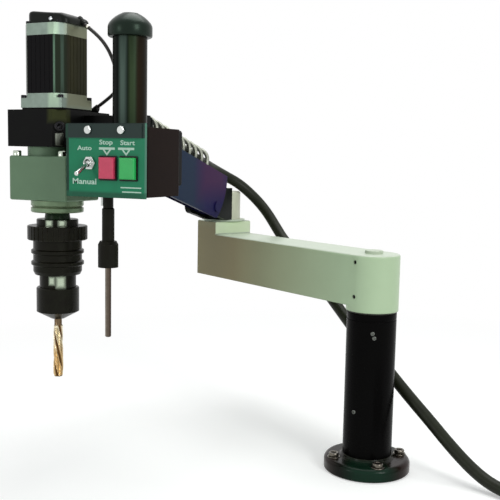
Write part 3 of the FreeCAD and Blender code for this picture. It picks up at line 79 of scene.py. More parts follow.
def add(tree, kind, settings, links=None):
    node = tree.nodes.new(kind)
    for key, value in settings.items():
        if isinstance(key, int) or key in node.inputs:
            node.inputs[key].default_value = value
        else:
            setattr(node, key, value)
    for socket, source in (links or {}).items():
        tree.links.new(source, node.inputs[socket])
    return node


def seen_white(tree):
    path = add(tree, "ShaderNodeLightPath", {})
    rays = add(tree, "ShaderNodeMath", {"operation": "ADD", "use_clamp": True},
               {0: path.outputs["Is Camera Ray"], 1: path.outputs["Is Glossy Ray"]})
    return add(tree, "ShaderNodeMath", {"operation": "ADD", "use_clamp": True},
               {0: rays.outputs[0], 1: path.outputs["Is Transmission Ray"]}).outputs[0]


world = bpy.data.worlds.new("plain_surround")
world.use_nodes = True
scene.world = world
tree = world.node_tree
tree.nodes.clear()
even = add(tree, "ShaderNodeBackground", {"Color": linear("#E9EEF0"), "Strength": 0.42})
white = add(tree, "ShaderNodeBackground", {"Color": (1, 1, 1, 1), "Strength": 1.0})
surround = add(tree, "ShaderNodeMixShader", {},
               {0: seen_white(tree), 1: even.outputs[0], 2: white.outputs[0]})
add(tree, "ShaderNodeOutputWorld", {}, {"Surface": surround.outputs[0]})

floor_paint = bpy.data.materials.new("matt_white_sheet")
floor_paint.use_nodes = True
tree = floor_paint.node_tree
tree.nodes.clear()
place = add(tree, "ShaderNodeNewGeometry", {})
distance = add(tree, "ShaderNodeVectorMath", {"operation": "LENGTH"}, {0: place.outputs["Position"]})
fade = add(tree, "ShaderNodeMapRange", {"From Min": 0.35, "From Max": 1.1, "To Min": 0.0, "To Max": 1.0},
           {0: distance.outputs["Value"]})
matt = add(tree, "ShaderNodeBsdfDiffuse", {"Color": linear("#E4E5E3")})
glow = add(tree, "ShaderNodeEmission", {"Color": (1, 1, 1, 1), "Strength": 0.37})
both = add(tree, "ShaderNodeAddShader", {}, {0: matt.outputs[0], 1: glow.outputs[0]})
away = add(tree, "ShaderNodeEmission", {"Color": (1, 1, 1, 1), "Strength": 1.0})
seen = add(tree, "ShaderNodeMixShader", {}, {0: fade.outputs[0], 1: both.outputs[0], 2: away.outputs[0]})
sheet = add(tree, "ShaderNodeMixShader", {}, {0: seen_white(tree), 1: matt.outputs[0], 2: seen.outputs[0]})
add(tree, "ShaderNodeOutputMaterial", {}, {"Surface": sheet.outputs[0]})
floor_mesh = bpy.data.meshes.new("floor_sheet")
floor_reach = 14
floor_level = -0.0004
floor_corners = ((-floor_reach, -floor_reach), (floor_reach, -floor_reach), (floor_reach, floor_reach),
                 (-floor_reach, floor_reach))
floor_mesh.from_pydata([(x, y, floor_level) for x, y in floor_corners], [], [(0, 1, 2, 3)])
floor_mesh.materials.append(floor_paint)
floor = bpy.data.objects.new("floor_sheet", floor_mesh)
scene.collection.objects.link(floor)

lamps = (("overhead_lamp", (-0.15, 0.25, 1.75), (-0.15, 0.0, 0.25), 1.2, 16.0),
         ("right_lamp", (1.30, -0.80, 0.90), (0.0, 0.0, 0.2), 0.5, 11.0),
         ("left_lamp", (-0.78, -1.42, 0.62), (-0.3, -0.1, 0.3), 0.25, 2.2))
for name, spot, target, size, power in lamps:
    lamp = bpy.data.lights.new(name, "AREA")
    lamp.shape = "SQUARE"
    lamp.size = size
    lamp.energy = power
    holder = bpy.data.objects.new(name, lamp)
    holder.location = spot
    holder.rotation_euler = (Vector(target) - Vector(spot)).to_track_quat("-Z", "Y").to_euler()
    scene.collection.objects.link(holder)


# Main cable: black PVC jacket 15 mm across on stranded cores, from the arm's front bracket through the
# spring, over the swivel post, down behind the cast arm and along the floor to its coil and plug.
# Moulded PVC gives a dull even black with a broad soft highlight and a faint waviness of the cores.
def new_finish(name, colour, dark, patch, grain, depth, settings, stretch=(1, 1, 1), edge=0.35, wear=None):
    # Patchy colour between two shades, a fine grain drawn out along the object by stretch, and edges
    # that catch the light as if rounded; patch, grain, depth and edge are in millimetres. With wear,
    # the edges are rubbed in patches to that colour
    material = bpy.data.materials.new(name)
    material.use_nodes = True
    tree = material.node_tree
    shader = tree.nodes["Principled BSDF"]
    for socket, value in settings.items():
        shader.inputs[socket].default_value = value
    spot = add(tree, "ShaderNodeTexCoord", {})
    cloud = add(tree, "ShaderNodeTexNoise", {"Scale": 1 / (patch * mm), "Detail": 4.0, "Roughness": 0.6},
                {"Vector": spot.outputs["Object"]})
    shades = add(tree, "ShaderNodeMix", {"data_type": "RGBA", 6: linear(dark), 7: linear(colour)},
                 {0: cloud.outputs["Fac"]})
    tree.links.new(shades.outputs[2], shader.inputs["Base Color"])
    drawn = add(tree, "ShaderNodeVectorMath", {"operation": "MULTIPLY", 1: stretch},
                {0: spot.outputs["Object"]})
    speck = add(tree, "ShaderNodeTexNoise", {"Scale": 1 / (grain * mm), "Detail": 3.0, "Roughness": 0.55},
                {"Vector": drawn.outputs[0]})
    level = settings["Roughness"]
    gloss = add(tree, "ShaderNodeMapRange", {"To Min": level * 0.75, "To Max": level * 1.3},
                {0: speck.outputs["Fac"]})
    tree.links.new(gloss.outputs[0], shader.inputs["Roughness"])
    rounding = add(tree, "ShaderNodeBevel", {"samples": 4, "Radius": edge * mm})
    if wear:
        face = add(tree, "ShaderNodeNewGeometry", {})
        turn = add(tree, "ShaderNodeVectorMath", {"operation": "DOT_PRODUCT"},
                   {0: rounding.outputs[0], 1: face.outputs["Normal"]})
        bend = add(tree, "ShaderNodeMapRange", {"From Min": 0.995, "From Max": 0.86},
                   {0: turn.outputs["Value"]})
        rubbed = add(tree, "ShaderNodeMath", {"operation": "MULTIPLY"},
                     {0: bend.outputs[0], 1: cloud.outputs["Fac"]})
        worn = add(tree, "ShaderNodeMix", {"data_type": "RGBA", 7: linear(wear)},
                   {0: rubbed.outputs[0], 6: shades.outputs[2]})
        tree.links.new(worn.outputs[2], shader.inputs["Base Color"])
    relief = add(tree, "ShaderNodeBump", {"Strength": 0.6, "Distance": depth * mm},
                 {"Height": speck.outputs["Fac"], "Normal": rounding.outputs[0]})
    tree.links.new(relief.outputs[0], shader.inputs["Normal"])
    return material


def paint_zone(material, low, high, values, edge=0.02):
    # Inside a box of the frame, in millimetres, the surface takes other values; edge softens its border
    tree = material.node_tree
    shader = tree.nodes["Principled BSDF"]
    middle = [(a + b) / 2 * mm for a, b in zip(low, high)]
    half = [(b - a) / 2 * mm for a, b in zip(low, high)]
    spot = add(tree, "ShaderNodeTexCoord", {})
    moved = add(tree, "ShaderNodeVectorMath", {"operation": "SUBTRACT", 1: middle},
                {0: spot.outputs["Object"]})
    size = add(tree, "ShaderNodeVectorMath", {"operation": "ABSOLUTE"}, {0: moved.outputs[0]})
    share = add(tree, "ShaderNodeVectorMath", {"operation": "DIVIDE", 1: half}, {0: size.outputs[0]})
    sides = add(tree, "ShaderNodeSeparateXYZ", {}, {0: share.outputs[0]})
    first = add(tree, "ShaderNodeMath", {"operation": "MAXIMUM"}, {0: sides.outputs[0], 1: sides.outputs[1]})
    most = add(tree, "ShaderNodeMath", {"operation": "MAXIMUM"}, {0: first.outputs[0], 1: sides.outputs[2]})
    inside = add(tree, "ShaderNodeMapRange", {"From Min": 1 + edge, "From Max": 1 - edge},
                 {0: most.outputs[0]})
    for socket, value in values.items():
        colour = socket == "Base Color"
        settings = {"data_type": "RGBA", 7: linear(value)} if colour else {"data_type": "FLOAT", 3: value}
        mix = add(tree, "ShaderNodeMix", settings, {0: inside.outputs[0]})
        low_slot = 6 if colour else 2
        if shader.inputs[socket].is_linked:
            tree.links.new(shader.inputs[socket].links[0].from_socket, mix.inputs[low_slot])
        else:
            mix.inputs[low_slot].default_value = shader.inputs[socket].default_value
        tree.links.new(mix.outputs[2 if colour else 0], shader.inputs[socket])


def finish_node(material, *names):
    for name in names:
        for slot in nodes[name].material_slots:
            slot.material = material


def mesh_piece(name, points, faces, material, body=None):
    mesh = bpy.data.meshes.new(name)
    mesh.from_pydata([tuple(point) for point in points], [], faces)
    mesh.polygons.foreach_set("use_smooth", [True] * len(mesh.polygons))
    mesh.set_sharp_from_angle(angle=math.radians(38))
    mesh.materials.append(material)
    mesh.update()
    piece = bpy.data.objects.new(name, mesh)
    scene.collection.objects.link(piece)
    if body:
        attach(piece, body)
    return piece


def route_curve(name, points):
    curve = bpy.data.curves.new(name, "CURVE")
    curve.dimensions = "3D"
    curve.resolution_u = 10
    spline = curve.splines.new("NURBS")
    spline.points.add(len(points) - 1)
    for control, point in zip(spline.points, points):
        control.co = (point[0], point[1], point[2], 1)
    spline.order_u = 3
    spline.use_endpoint_u = True
    route = bpy.data.objects.new(name, curve)
    scene.collection.objects.link(route)
    return route


def route_line(points):
    route = route_curve("route", points)
    bpy.context.view_layer.update()
    seen_route = route.evaluated_get(bpy.context.evaluated_depsgraph_get())
    mesh = bpy.data.meshes.new_from_object(seen_route)
    line = [vertex.co.copy() for vertex in mesh.vertices]
    bpy.data.objects.remove(route)
    return line


def tube_points(line, radii, sides):
    points = []
    faces = []
    across = (line[1] - line[0]).orthogonal().normalized()
    for index, centre in enumerate(line):
        way = (line[min(index + 1, len(line) - 1)] - line[max(index - 1, 0)]).normalized()
        across = (across - way * across.dot(way)).normalized()
        over = way.cross(across)
        for side in range(sides):
            turn = 2 * math.pi * side / sides
            points.append(centre + (across * math.cos(turn) + over * math.sin(turn)) * radii[index])
    for ring in range(len(line) - 1):
        for side in range(sides):
            after = (side + 1) % sides
            low = ring * sides
            faces.append((low + side, low + after, low + sides + after, low + sides + side))
    faces.append(tuple(reversed(range(sides))))
    faces.append(tuple(range((len(line) - 1) * sides, len(line) * sides)))
    return points, faces


lift = math.radians(15.4)
arm_forward = Vector((0, -math.cos(lift), math.sin(lift)))
arm_upward = Vector((0, math.sin(lift), math.cos(lift)))
low_pin = Vector((-274.04, 68.10, 308.60)) * mm
cable_radius = 0.0075
cable_rise = 0.0591
bracket_reach = 0.17775
exit_reach = 0.002
exit_lead = 0.025
cable_bracket = low_pin + arm_forward * bracket_reach + arm_upward * cable_rise
cable_exit = low_pin + arm_forward * exit_reach + arm_upward * cable_rise
cable_places = ((-266.6, 130.6, 349.5), (-251.6, 146.7, 338.3), (-230.0, 157.6, 317.0),
                (-211.5, 157.0, 298.0), (-194.0, 151.0, 277.5), (-175.0, 141.0, 257.5),
                (-112.3, 107.6, 214.5), (-76.5, 87.6, 184.0), (-55.0, 75.0, 166.0), (-33.4, 63.2, 148.2),
                (-12.0, 52.5, 131.5), (7.2, 45.4, 117.0), (23.2, 39.6, 102.9), (44.9, 31.6, 84.6),
                (71.6, 20.8, 64.0), (97.2, 9.9, 43.3), (122.0, -0.5, 25.5), (146.0, -10.3, 12.8),
                (171.5, -20.0, 7.5), (204.0, -31.0, 7.5), (240.0, -43.5, 7.5), (278.0, -56.0, 7.5))
cable_points = [cable_bracket, cable_exit, cable_exit - arm_forward * exit_lead]
cable_points = cable_points + [Vector(place) * mm for place in cable_places]
entry_way = (cable_points[-1] - cable_points[-2]).normalized()
inward = Vector((entry_way.y, -entry_way.x, 0))
coil_radius = 0.107
coil_pitch = 0.0165
coil_turns = 2
coil_steps = 25
turn_radius = 0.042
turn_steps = 5
plug_rise = 0.0055
straight_lead = 0.015
coil_start = cable_points[-1] + entry_way * straight_lead
coil_middle = coil_start + inward * coil_radius
coil_step = math.radians(30)
wide = 1 / math.cos(coil_step / 2)
for step in range(coil_steps):
    angle = coil_step * (step + 0.5)
    if angle < coil_turns * 2 * math.pi:
        outward = entry_way * math.sin(angle) - inward * math.cos(angle)
        radius = (coil_radius - coil_pitch * angle / (2 * math.pi)) * wide
        cable_points.append(coil_middle + outward * radius)
turn_start = coil_middle - inward * (coil_radius - coil_turns * coil_pitch)
turn_middle = turn_start + inward * turn_radius
for step in range(turn_steps):
    angle = coil_step * (step + 0.5)
    outward = entry_way * math.sin(angle) - inward * math.cos(angle)
    rise = Vector((0, 0, plug_rise * (step + 0.5) / turn_steps))
    cable_points.append(turn_middle + outward * turn_radius * wide + rise)
plug_angle = coil_step * turn_steps
plug_way = entry_way * math.cos(plug_angle) + inward * math.sin(plug_angle)
outward = entry_way * math.sin(plug_angle) - inward * math.cos(plug_angle)
plug_start = turn_middle + outward * turn_radius + Vector((0, 0, plug_rise)) + plug_way * straight_lead
cable_points.append(plug_start)

jacket = new_finish("moulded_pvc_cable_jacket", "#262B1D", "#13140D", 14.0, 1.6, 0.12,
                    {"Roughness": 0.40, "IOR": 1.5, "Specular IOR Level": 0.16}, stretch=(1, 1, 0.25))
cable_line = route_line(cable_points)

# Mains plug: moulded black body with two nickel plated pins, and a ribbed boot that tapers back along
# the cable. Boot and body are the same dull PVC as the jacket, and the pins are bright bare metal.
plug_finish = new_finish("moulded_pvc_plug", "#242323", "#191919", 9.0, 0.9, 0.05,
                         {"Roughness": 0.45, "IOR": 1.5, "Specular IOR Level": 0.3})
plug_mm = plug_start / mm
paint_zone(plug_finish, (plug_mm.x - 60, plug_mm.y - 40, 0), (plug_mm.x - 38.6, plug_mm.y + 10, 40),
           {"Base Color": "#C9C6BC", "Roughness": 0.22, "Metallic": 1.0}, edge=0.02)
finish_node(plug_finish, "supply_plug")
boot_length = 0.034
boot_thin = 0.0081
boot_growth = 0.0021
boot_rib = 0.0005
boot_line = [point for point in cable_line if (point - plug_start).length < boot_length]
boot_radii = []
for index in range(len(boot_line)):
    share = index / (len(boot_line) - 1)
    boot_radii.append(boot_thin + boot_growth * share + boot_rib * (index % 2))
points, faces = tube_points(boot_line, boot_radii, 32)
plug_boot = mesh_piece("plug_boot", points, faces, plug_finish, "base")

# The cable in its three stretches over the arm, the yoke, the cast arm and the bench: one jacket from end to
# end, cut only between these bodies. Each stretch takes the place of CAD cable parts, which are hidden.
first_cut = (cable_points[4] + cable_points[5]) / 2
second_cut = (cable_points[8] + cable_points[9]) / 2
cut_one = min(range(len(cable_line)), key=lambda i: (cable_line[i] - first_cut).length)
cut_two = min(range(len(cable_line)), key=lambda i: (cable_line[i] - second_cut).length)
cable_stretches = (("lift_cable", cable_line[:cut_one + 1], ("arm_cable", "post_cable"), "object"),
                   ("elbow_cable_run", cable_line[cut_one:cut_two + 1], ("elbow_cable",), "object"),
                   ("column_cable_run", cable_line[cut_two:], ("hub_cable", "supply_cable", "supply_coil"),
                    "plug"))
cable_pieces = []
for name, line, stood_for, far_end in cable_stretches:
    points, faces = tube_points(line, [cable_radius] * len(line), 24)
    piece = mesh_piece(name, points, faces, jacket)
    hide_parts(*stood_for)
    cable_pieces.append(piece)
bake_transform(cable_pieces[0])
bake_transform(cable_pieces[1])
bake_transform(cable_pieces[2])

# Motor lead: thin grey black cable that leaves the cover's boot and loops down to the gland on the block.
# Extruded PVC over two cores, finely matt, with the slack loop that the photograph shows in part.
head_axis = Vector((-358.14, -143.50, 0)) * mm
motor_cable_places = ((31.0, 7.0, 533.078), (46.5, 9.0, 522.415), (60.5, 13.0, 508.044),
                      (68.0, 19.0, 489.963), (67.5, 28.0, 471.5), (62.0, 36.5, 456.5),
                      (48.0, 41.5, 447.0), (30.5, 41.5, 436.534))
motor_cable_points = [head_axis + Vector(place) * mm for place in motor_cable_places]
thin_jacket = new_finish("extruded_pvc_thin_lead", "#2E2C28", "#1B1A18", 6.0, 0.7, 0.04,
                         {"Roughness": 0.42, "IOR": 1.5, "Specular IOR Level": 0.35})
lead_radius = 0.0021
motor_cable = route_curve("motor_lead", motor_cable_points)
motor_cable.data.bevel_depth = lead_radius
motor_cable.data.bevel_resolution = 5
motor_cable.data.use_fill_caps = True
motor_cable.data.materials.append(thin_jacket)
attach(motor_cable, "head")
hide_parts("motor_cable")
lead_line = route_line(motor_cable_points)
nickel = new_finish("nickel_plated_ferrule", "#D8D8CE", "#B5B6AC", 3.0, 0.5, 0.01,
                    {"Roughness": 0.22, "Metallic": 1.0}, edge=0.1)
ferrule_from = 0.0075
ferrule_to = 0.0125
ferrule_radius = 0.0029
ferrule_line = [point for point in lead_line if ferrule_from < (point - lead_line[0]).length < ferrule_to]
points, faces = tube_points(ferrule_line, [ferrule_radius] * len(ferrule_line), 24)
lead_ferrule = mesh_piece("lead_ferrule", points, faces, nickel, "head")

# Base flange and column: turned steel disc and tube in black stoving enamel, screwed to the bench.
# Stoved enamel is nearly black and half glossy, with a slight orange peel about 2 mm across.
enamel = new_finish("black_stoving_enamel", "#080807", "#050405", 30.0, 2.2, 0.06,
                    {"Roughness": 0.26, "IOR": 1.5, "Specular IOR Level": 0.03}, edge=0.8)
finish_node(enamel, "column", "cable_clamp")
flange_enamel = new_finish("black_stoving_enamel_on_cast_flange", "#0D140B", "#0A0605", 26.0, 2.6, 0.10,
                           {"Roughness": 0.2, "IOR": 1.5, "Specular IOR Level": 0.11}, edge=1.8,
                           wear="#48493A")
# Painted reflections on the black enamel: a green one at the flange's front and a brown one at its two sides
flange_painted_reflections = (((-8, -78, -1), (42, -30, 17), "#0E2B1E"), ((-75, -45, -1), (-32, 10, 17), "#24130F"),
                ((38, -20, -1), (75, 40, 17), "#24130F"))
for low, high, colour in flange_painted_reflections:
    paint_zone(flange_enamel, low, high, {"Base Color": colour}, edge=0.45)
finish_node(flange_enamel, "base_flange")


# Bench screws: four blackened M8 socket heads with washers on the flange's spot faces, worn to bare
# steel round the socket. Three small zinc plated screws stand in the column.
def turned_shape(outline, spot, way, sides=48):
    # Rings of radius and level; a third value of 6 makes that ring a hexagon
    side_way = way.orthogonal().normalized()
    over_way = way.cross(side_way)
    points = []
    faces = []
    for ring in outline:
        for side in range(sides):
            turn = 2 * math.pi * side / sides
            radius = ring[0]
            if len(ring) > 2:
                radius = radius / math.cos((turn + math.pi / 6) % (math.pi / 3) - math.pi / 6)
            around = side_way * math.cos(turn) + over_way * math.sin(turn)
            points.append(spot + (around * radius + way * ring[1]) * mm)
    for ring in range(len(outline) - 1):
        for side in range(sides):
            after = (side + 1) % sides
            low = ring * sides
            faces.append((low + side, low + after, low + sides + after, low + sides + side))
    faces.append(tuple(reversed(range(sides))))
    faces.append(tuple(range((len(outline) - 1) * sides, len(outline) * sides)))
    return points, faces


def turned(name, outline, spot, way, material, body, sides=48):
    points, faces = turned_shape(outline, spot, way, sides)
    return mesh_piece(name, points, faces, material, body)


zinc = new_finish("zinc_plated_steel", "#C9CDD0", "#9DA3A6", 3.0, 0.6, 0.02,
                  {"Roughness": 0.3, "Metallic": 1.0}, edge=0.2)
worn_black = new_finish("worn_black_oxide_screw", "#857F74", "#2C2A27", 3.4, 0.6, 0.03,
                        {"Roughness": 0.26, "Metallic": 0.95}, edge=0.6)
up = Vector((0, 0, 1))
bolt_circle_radius = 42
bolt_first_angle = -145
bolt_seat = 15.05
washer_outline = ((4.4, 0), (7.7, 0), (7.9, 0.3), (7.9, 1.1), (7.7, 1.4), (4.4, 1.4))
foot_screw_outline = ((3.9, -12), (3.9, 1.45), (5.9, 1.45), (6.2, 1.9), (6.2, 5.2), (5.6, 6.1),
                      (3.4, 6.1, 6), (3.2, 5.8, 6), (3.2, 3.0, 6), (1.8, 2.6))
for index in range(4):
    turn = math.radians(bolt_first_angle + 90 * index)
    spot = Vector((bolt_circle_radius * math.cos(turn), bolt_circle_radius * math.sin(turn), bolt_seat)) * mm
    turned(f"foot_washer_{index + 1}", washer_outline, spot, up, worn_black, "base")
    turned(f"foot_screw_{index + 1}", foot_screw_outline, spot, up, worn_black, "base")
dull_zinc = new_finish("dull_zinc_plated_small_screw", "#747772", "#4E504C", 2.0, 0.5, 0.02,
                        {"Roughness": 0.4, "Metallic": 0.9}, edge=0.15)
finish_node(dull_zinc, "column_screws")

# King pin and elbow pin, their bushes and the thrust washer: ground steel running in turned bronze.
# Ground steel is bright with fine rings, bronze is warm brown, and the washer is dark oiled steel.
ground_steel = new_finish("ground_steel", "#B4B5AC", "#8E9088", 5.0, 0.5, 0.02,
                          {"Roughness": 0.26, "Metallic": 1.0}, stretch=(1, 1, 8))
bronze = new_finish("turned_bearing_bronze", "#B08850", "#8C6434", 4.0, 0.6, 0.02,
                    {"Roughness": 0.35, "Metallic": 1.0})
oiled_steel = new_finish("oiled_dark_steel_washer", "#3A3B36", "#23231F", 4.0, 0.6, 0.02,
                         {"Roughness": 0.35, "Metallic": 0.8})
finish_node(ground_steel, "king_pin", "elbow_pin")
finish_node(bronze, "hub_bush", "elbow_bush")
finish_node(oiled_steel, "thrust_washer")

# Cast swing arm with its raised end block, hub cap and two grub screws.
# Fine sand casting, filled and sprayed pale green: half glossy, with a soft grain of about 1.5 mm.
cast_enamel = new_finish("sprayed_green_cast_iron", "#C0D8B3", "#AFC7A2", 60.0, 1.5, 0.12,
                         {"Roughness": 0.36, "IOR": 1.5, "Specular IOR Level": 0.4}, edge=2.4)
# Painted reflection: brown towards the elbow end. Painted light: a paler face on the raised end block, and
# paler tops
paint_zone(cast_enamel, (-440, -100, 150), (-128, 400, 330), {"Base Color": "#887F58"}, edge=0.64)
paint_zone(cast_enamel, (-268.4, 80, 266.4), (-200, 190, 290), {"Base Color": "#DCEBC9"}, edge=0.02)
for left, low, high in ((-267.6, 265.0, 267.6), (-340, 283.6, 288.0)):
    paint_zone(cast_enamel, (left, -60, low), (60, 200, high), {"Base Color": "#C6D2BE"}, edge=0.02)
finish_node(cast_enamel, "arm_casting", "elbow_thrust_ring")
grub = new_finish("oiled_black_grub_screw", "#2C2B2A", "#1D1C1C", 3.0, 0.5, 0.02,
                  {"Roughness": 0.4, "Metallic": 0.6})
finish_node(grub, "arm_screws")
cap_finish = new_finish("pale_plastic_cap", "#C2CEB9", "#B5C1AB", 8.0, 0.7, 0.03,
                        {"Roughness": 0.4, "IOR": 1.46})
finish_node(cap_finish, "hub_cap")

# Swivel post: turned steel sprayed cream white on a pale thrust ring, in a yoke of blackened steel.
# Sprayed enamel on a turned face is even and half glossy, and the yoke is nearly black and oily.
cream = new_finish("sprayed_cream_enamel", "#D6D8C4", "#C6C9B2", 40.0, 1.8, 0.04,
                   {"Roughness": 0.34, "IOR": 1.5, "Specular IOR Level": 0.45}, edge=0.8)
finish_node(cream, "elbow_post")
blacked = new_finish("oil_blackened_steel", "#121815", "#0A0D0C", 7.0, 0.9, 0.04,
                     {"Roughness": 0.36, "Metallic": 0.1, "Specular IOR Level": 0.05}, edge=0.5)
finish_node(blacked, "yoke_ears", "link_rod")

# Cap screws of the head: one that clamps the block, four in the gearbox and four in each motor flange.
# Turned steel heads with hexagon sockets, in black oxide, and bright zinc on the gearbox.
screw_black = new_finish("black_oxide_head_screw", "#2A2A2C", "#141416", 2.2, 0.5, 0.02,
                         {"Roughness": 0.3, "Metallic": 0.8, "Specular IOR Level": 0.25}, edge=0.25,
                         wear="#6B625A")
paint_zone(screw_black, (-410, -180, 360), (-320, -105, 382),
           {"Base Color": "#B9C2B4", "Roughness": 0.2, "Metallic": 1.0})
corner_way = Vector((1, -1, 0)).normalized()
screw_places = [((-331.5, -172.1, 409.4), corner_way, 6.0, 12.6)]
screw_places += [((x, y, 380.6), up, 5.0, 6.2) for x in (-398.1, -331.1) for y in (-168.5, -117.5)]
screw_places += [((x, y, 531.9), up, 3.25, 3.6) for x in (-380.75, -335.55) for y in (-166.15, -120.85)]
screw_places += [((x, y, 446.0), up, 3.25, 3.6) for x in (-385.35, -330.95) for y in (-170.75, -116.25)]
cap_points = []
cap_faces = []
for top, way, radius, head in screw_places:
    outline = ((radius * 0.5, -head - 4.0), (radius * 0.5, -head), (radius, -head), (radius, -radius * 0.16),
               (radius * 0.88, 0.0), (radius * 0.52, 0.0, 6), (radius * 0.46, -radius * 0.1, 6),
               (radius * 0.46, -radius * 0.7, 6), (radius * 0.2, -radius * 0.85))
    points, faces = turned_shape(outline, Vector(top) * mm, way, sides=36)
    cap_faces += [tuple(len(cap_points) + index for index in face) for face in faces]
    cap_points += points
cap_screws = mesh_piece("socket_cap_screws", cap_points, cap_faces, screw_black, "head")
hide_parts("head_screws")

# Lifting arm: two cut steel plates with a bottom web and a shelf, powder coated in violet navy.
# Powder coat has a fine even texture of about 1 mm and a broad soft highlight.
navy = new_finish("powder_coated_navy_steel", "#231F4C", "#1A1A45", 55.0, 1.1, 0.08,
                  {"Roughness": 0.36, "IOR": 1.5, "Specular IOR Level": 0.05}, edge=0.6, wear="#2C2A4E")
# Painted reflections on the plates: a grey blue one towards the front and a purple one towards the rear
paint_zone(navy, (-320, -140, 280), (-230, 18, 420), {"Base Color": "#1F2E44"}, edge=0.25)
paint_zone(navy, (-320, 20, 328), (-230, 96, 400), {"Base Color": "#3E2046"}, edge=0.45)
finish_node(navy, "arm_plate_left", "arm_plate_right", "front_pivot_pins", "rear_pivot_pins")
# The webs under the plates are darker than the plates' navy, as painted shade on the arm's underside
navy_web_painted_shade = new_finish("powder_coated_navy_web", "#12122A", "#0D0D20", 40.0, 1.1, 0.08,
                      {"Roughness": 0.6, "IOR": 1.5, "Specular IOR Level": 0.0}, edge=0.6)
finish_node(navy_web_painted_shade, "arm_webs")
finish_node(blacked, "front_bracket")
grommet_outline = ((9.6, 0.2), (10.0, -0.6), (9.7, -2.0), (8.6, -2.9), (7.6, -3.1))
turned("cable_grommet", grommet_outline, cable_bracket, arm_forward, jacket, "lift_arm")

# Balance spring: zinc plated spring wire wound round the cable, dull grey with bright crowns.
spring_wire = new_finish("zinc_plated_spring_wire", "#A3A699", "#74776D", 5.0, 0.8, 0.03,
                         {"Roughness": 0.44, "Metallic": 1.0}, edge=0.1)
finish_node(spring_wire, "balance_spring")

# Carrier bracket, head block and lead gland in black anodised aluminium, the motor's black enamelled
# stack, and the steel bar let into the block's corner. Anodising is dark grey black, silky and finely
# drawn, enamel is smoother, and the oiled bar is a dull mid grey.
anodised = new_finish("black_anodised_aluminium", "#131412", "#0C0B0D", 18.0, 0.7, 0.03,
                      {"Roughness": 0.34, "Metallic": 0.0, "Specular IOR Level": 0.06}, stretch=(1, 1, 0.15),
                      edge=0.6, wear="#3C3B36")
# Painted highlight: an olive sheen on the block's cut corner above the clamp screw
paint_zone(anodised, (-346, -178, 415), (-327, -158, 440), {"Base Color": "#3A3E22"}, edge=0.3)
finish_node(anodised, "carrier_bracket", "head_block", "block_gland")
motor_enamel = new_finish("black_enamelled_laminations", "#100F11", "#0B0A0C", 20.0, 0.9, 0.03,
                          {"Roughness": 0.3, "IOR": 1.5, "Specular IOR Level": 0.06}, stretch=(1, 1, 6),
                          edge=0.05)
# Painted reflections: an olive brown one on the stack's right face and a green sheen on its four cut corners
paint_zone(motor_enamel, (-332.6, -162, 440), (-322, -106, 520), {"Base Color": "#35341F"}, edge=0.3)
for across, over in ((-386, -171.4), (-386, -115.6), (-330.2, -171.4), (-330.2, -115.6)):
    paint_zone(motor_enamel, (across - 8.4, over - 8.4, 440), (across + 8.4, over + 8.4, 520),
               {"Base Color": "#252E21"}, edge=0.22)
# Painted highlights: two narrow pale lines down the stack's cut corner on the panel's side
for across, over, half, colour in ((-338.6, -173.5, 1.0, "#6B8A74"), (-331.8, -166.7, 1.3, "#44564A")):
    paint_zone(motor_enamel, (across - half, over - half, 447), (across + half, over + half, 516),
               {"Base Color": colour}, edge=0.4)
finish_node(motor_enamel, "motor_body")
bar_steel = new_finish("oiled_grey_steel_bar", "#7A7F74", "#4D514A", 5.0, 0.6, 0.03,
                       {"Roughness": 0.36, "Metallic": 0.85}, edge=0.8)
paint_zone(bar_steel, (-360, -190, 376), (-320, -150, 394), {"Base Color": "#33362F"}, edge=0.5)
bar_outline = ((5.6, 386.4), (6.6, 387.4), (6.6, 401.0), (5.6, 402.0))
turned("corner_bar", bar_outline, Vector((-337.0, -166.6, 0)) * mm, up, bar_steel, "head")

# Encoder cover on the motor: a moulded black cap whose top slopes down to the lead's boot, with one
# bright screw in its side. Moulded nylon is nearly black, with rounded edges and a soft sheen.
def plan_shape(middle, half, edge, low, rings, height, corner_steps=8):
    # Rounded rectangle seen from above, in rings of inset, share of the height and drop, in millimetres
    points = []
    faces = []
    for inset, share, drop in rings:
        for corner in range(4):
            side_x = 1 if corner in (0, 3) else -1
            side_y = 1 if corner in (0, 1) else -1
            edge_radius = max(edge - inset, 1.0)
            for step in range(corner_steps + 1):
                turn = math.pi / 2 * (corner + step / corner_steps)
                across = middle[0] + side_x * (half[0] - inset - edge_radius) + edge_radius * math.cos(turn)
                over = middle[1] + side_y * (half[1] - inset - edge_radius) + edge_radius * math.sin(turn)
                points.append(Vector((across, over, low + share * height(across) + drop)) * mm)
    around = 4 * (corner_steps + 1)
    for ring in range(len(rings) - 1):
        for side in range(around):
            after = (side + 1) % around
            start = ring * around
            faces.append((start + side, start + after, start + around + after, start + around + side))
    faces.append(tuple(reversed(range(around))))
    faces.append(tuple(range((len(rings) - 1) * around, len(rings) * around)))
    return points, faces


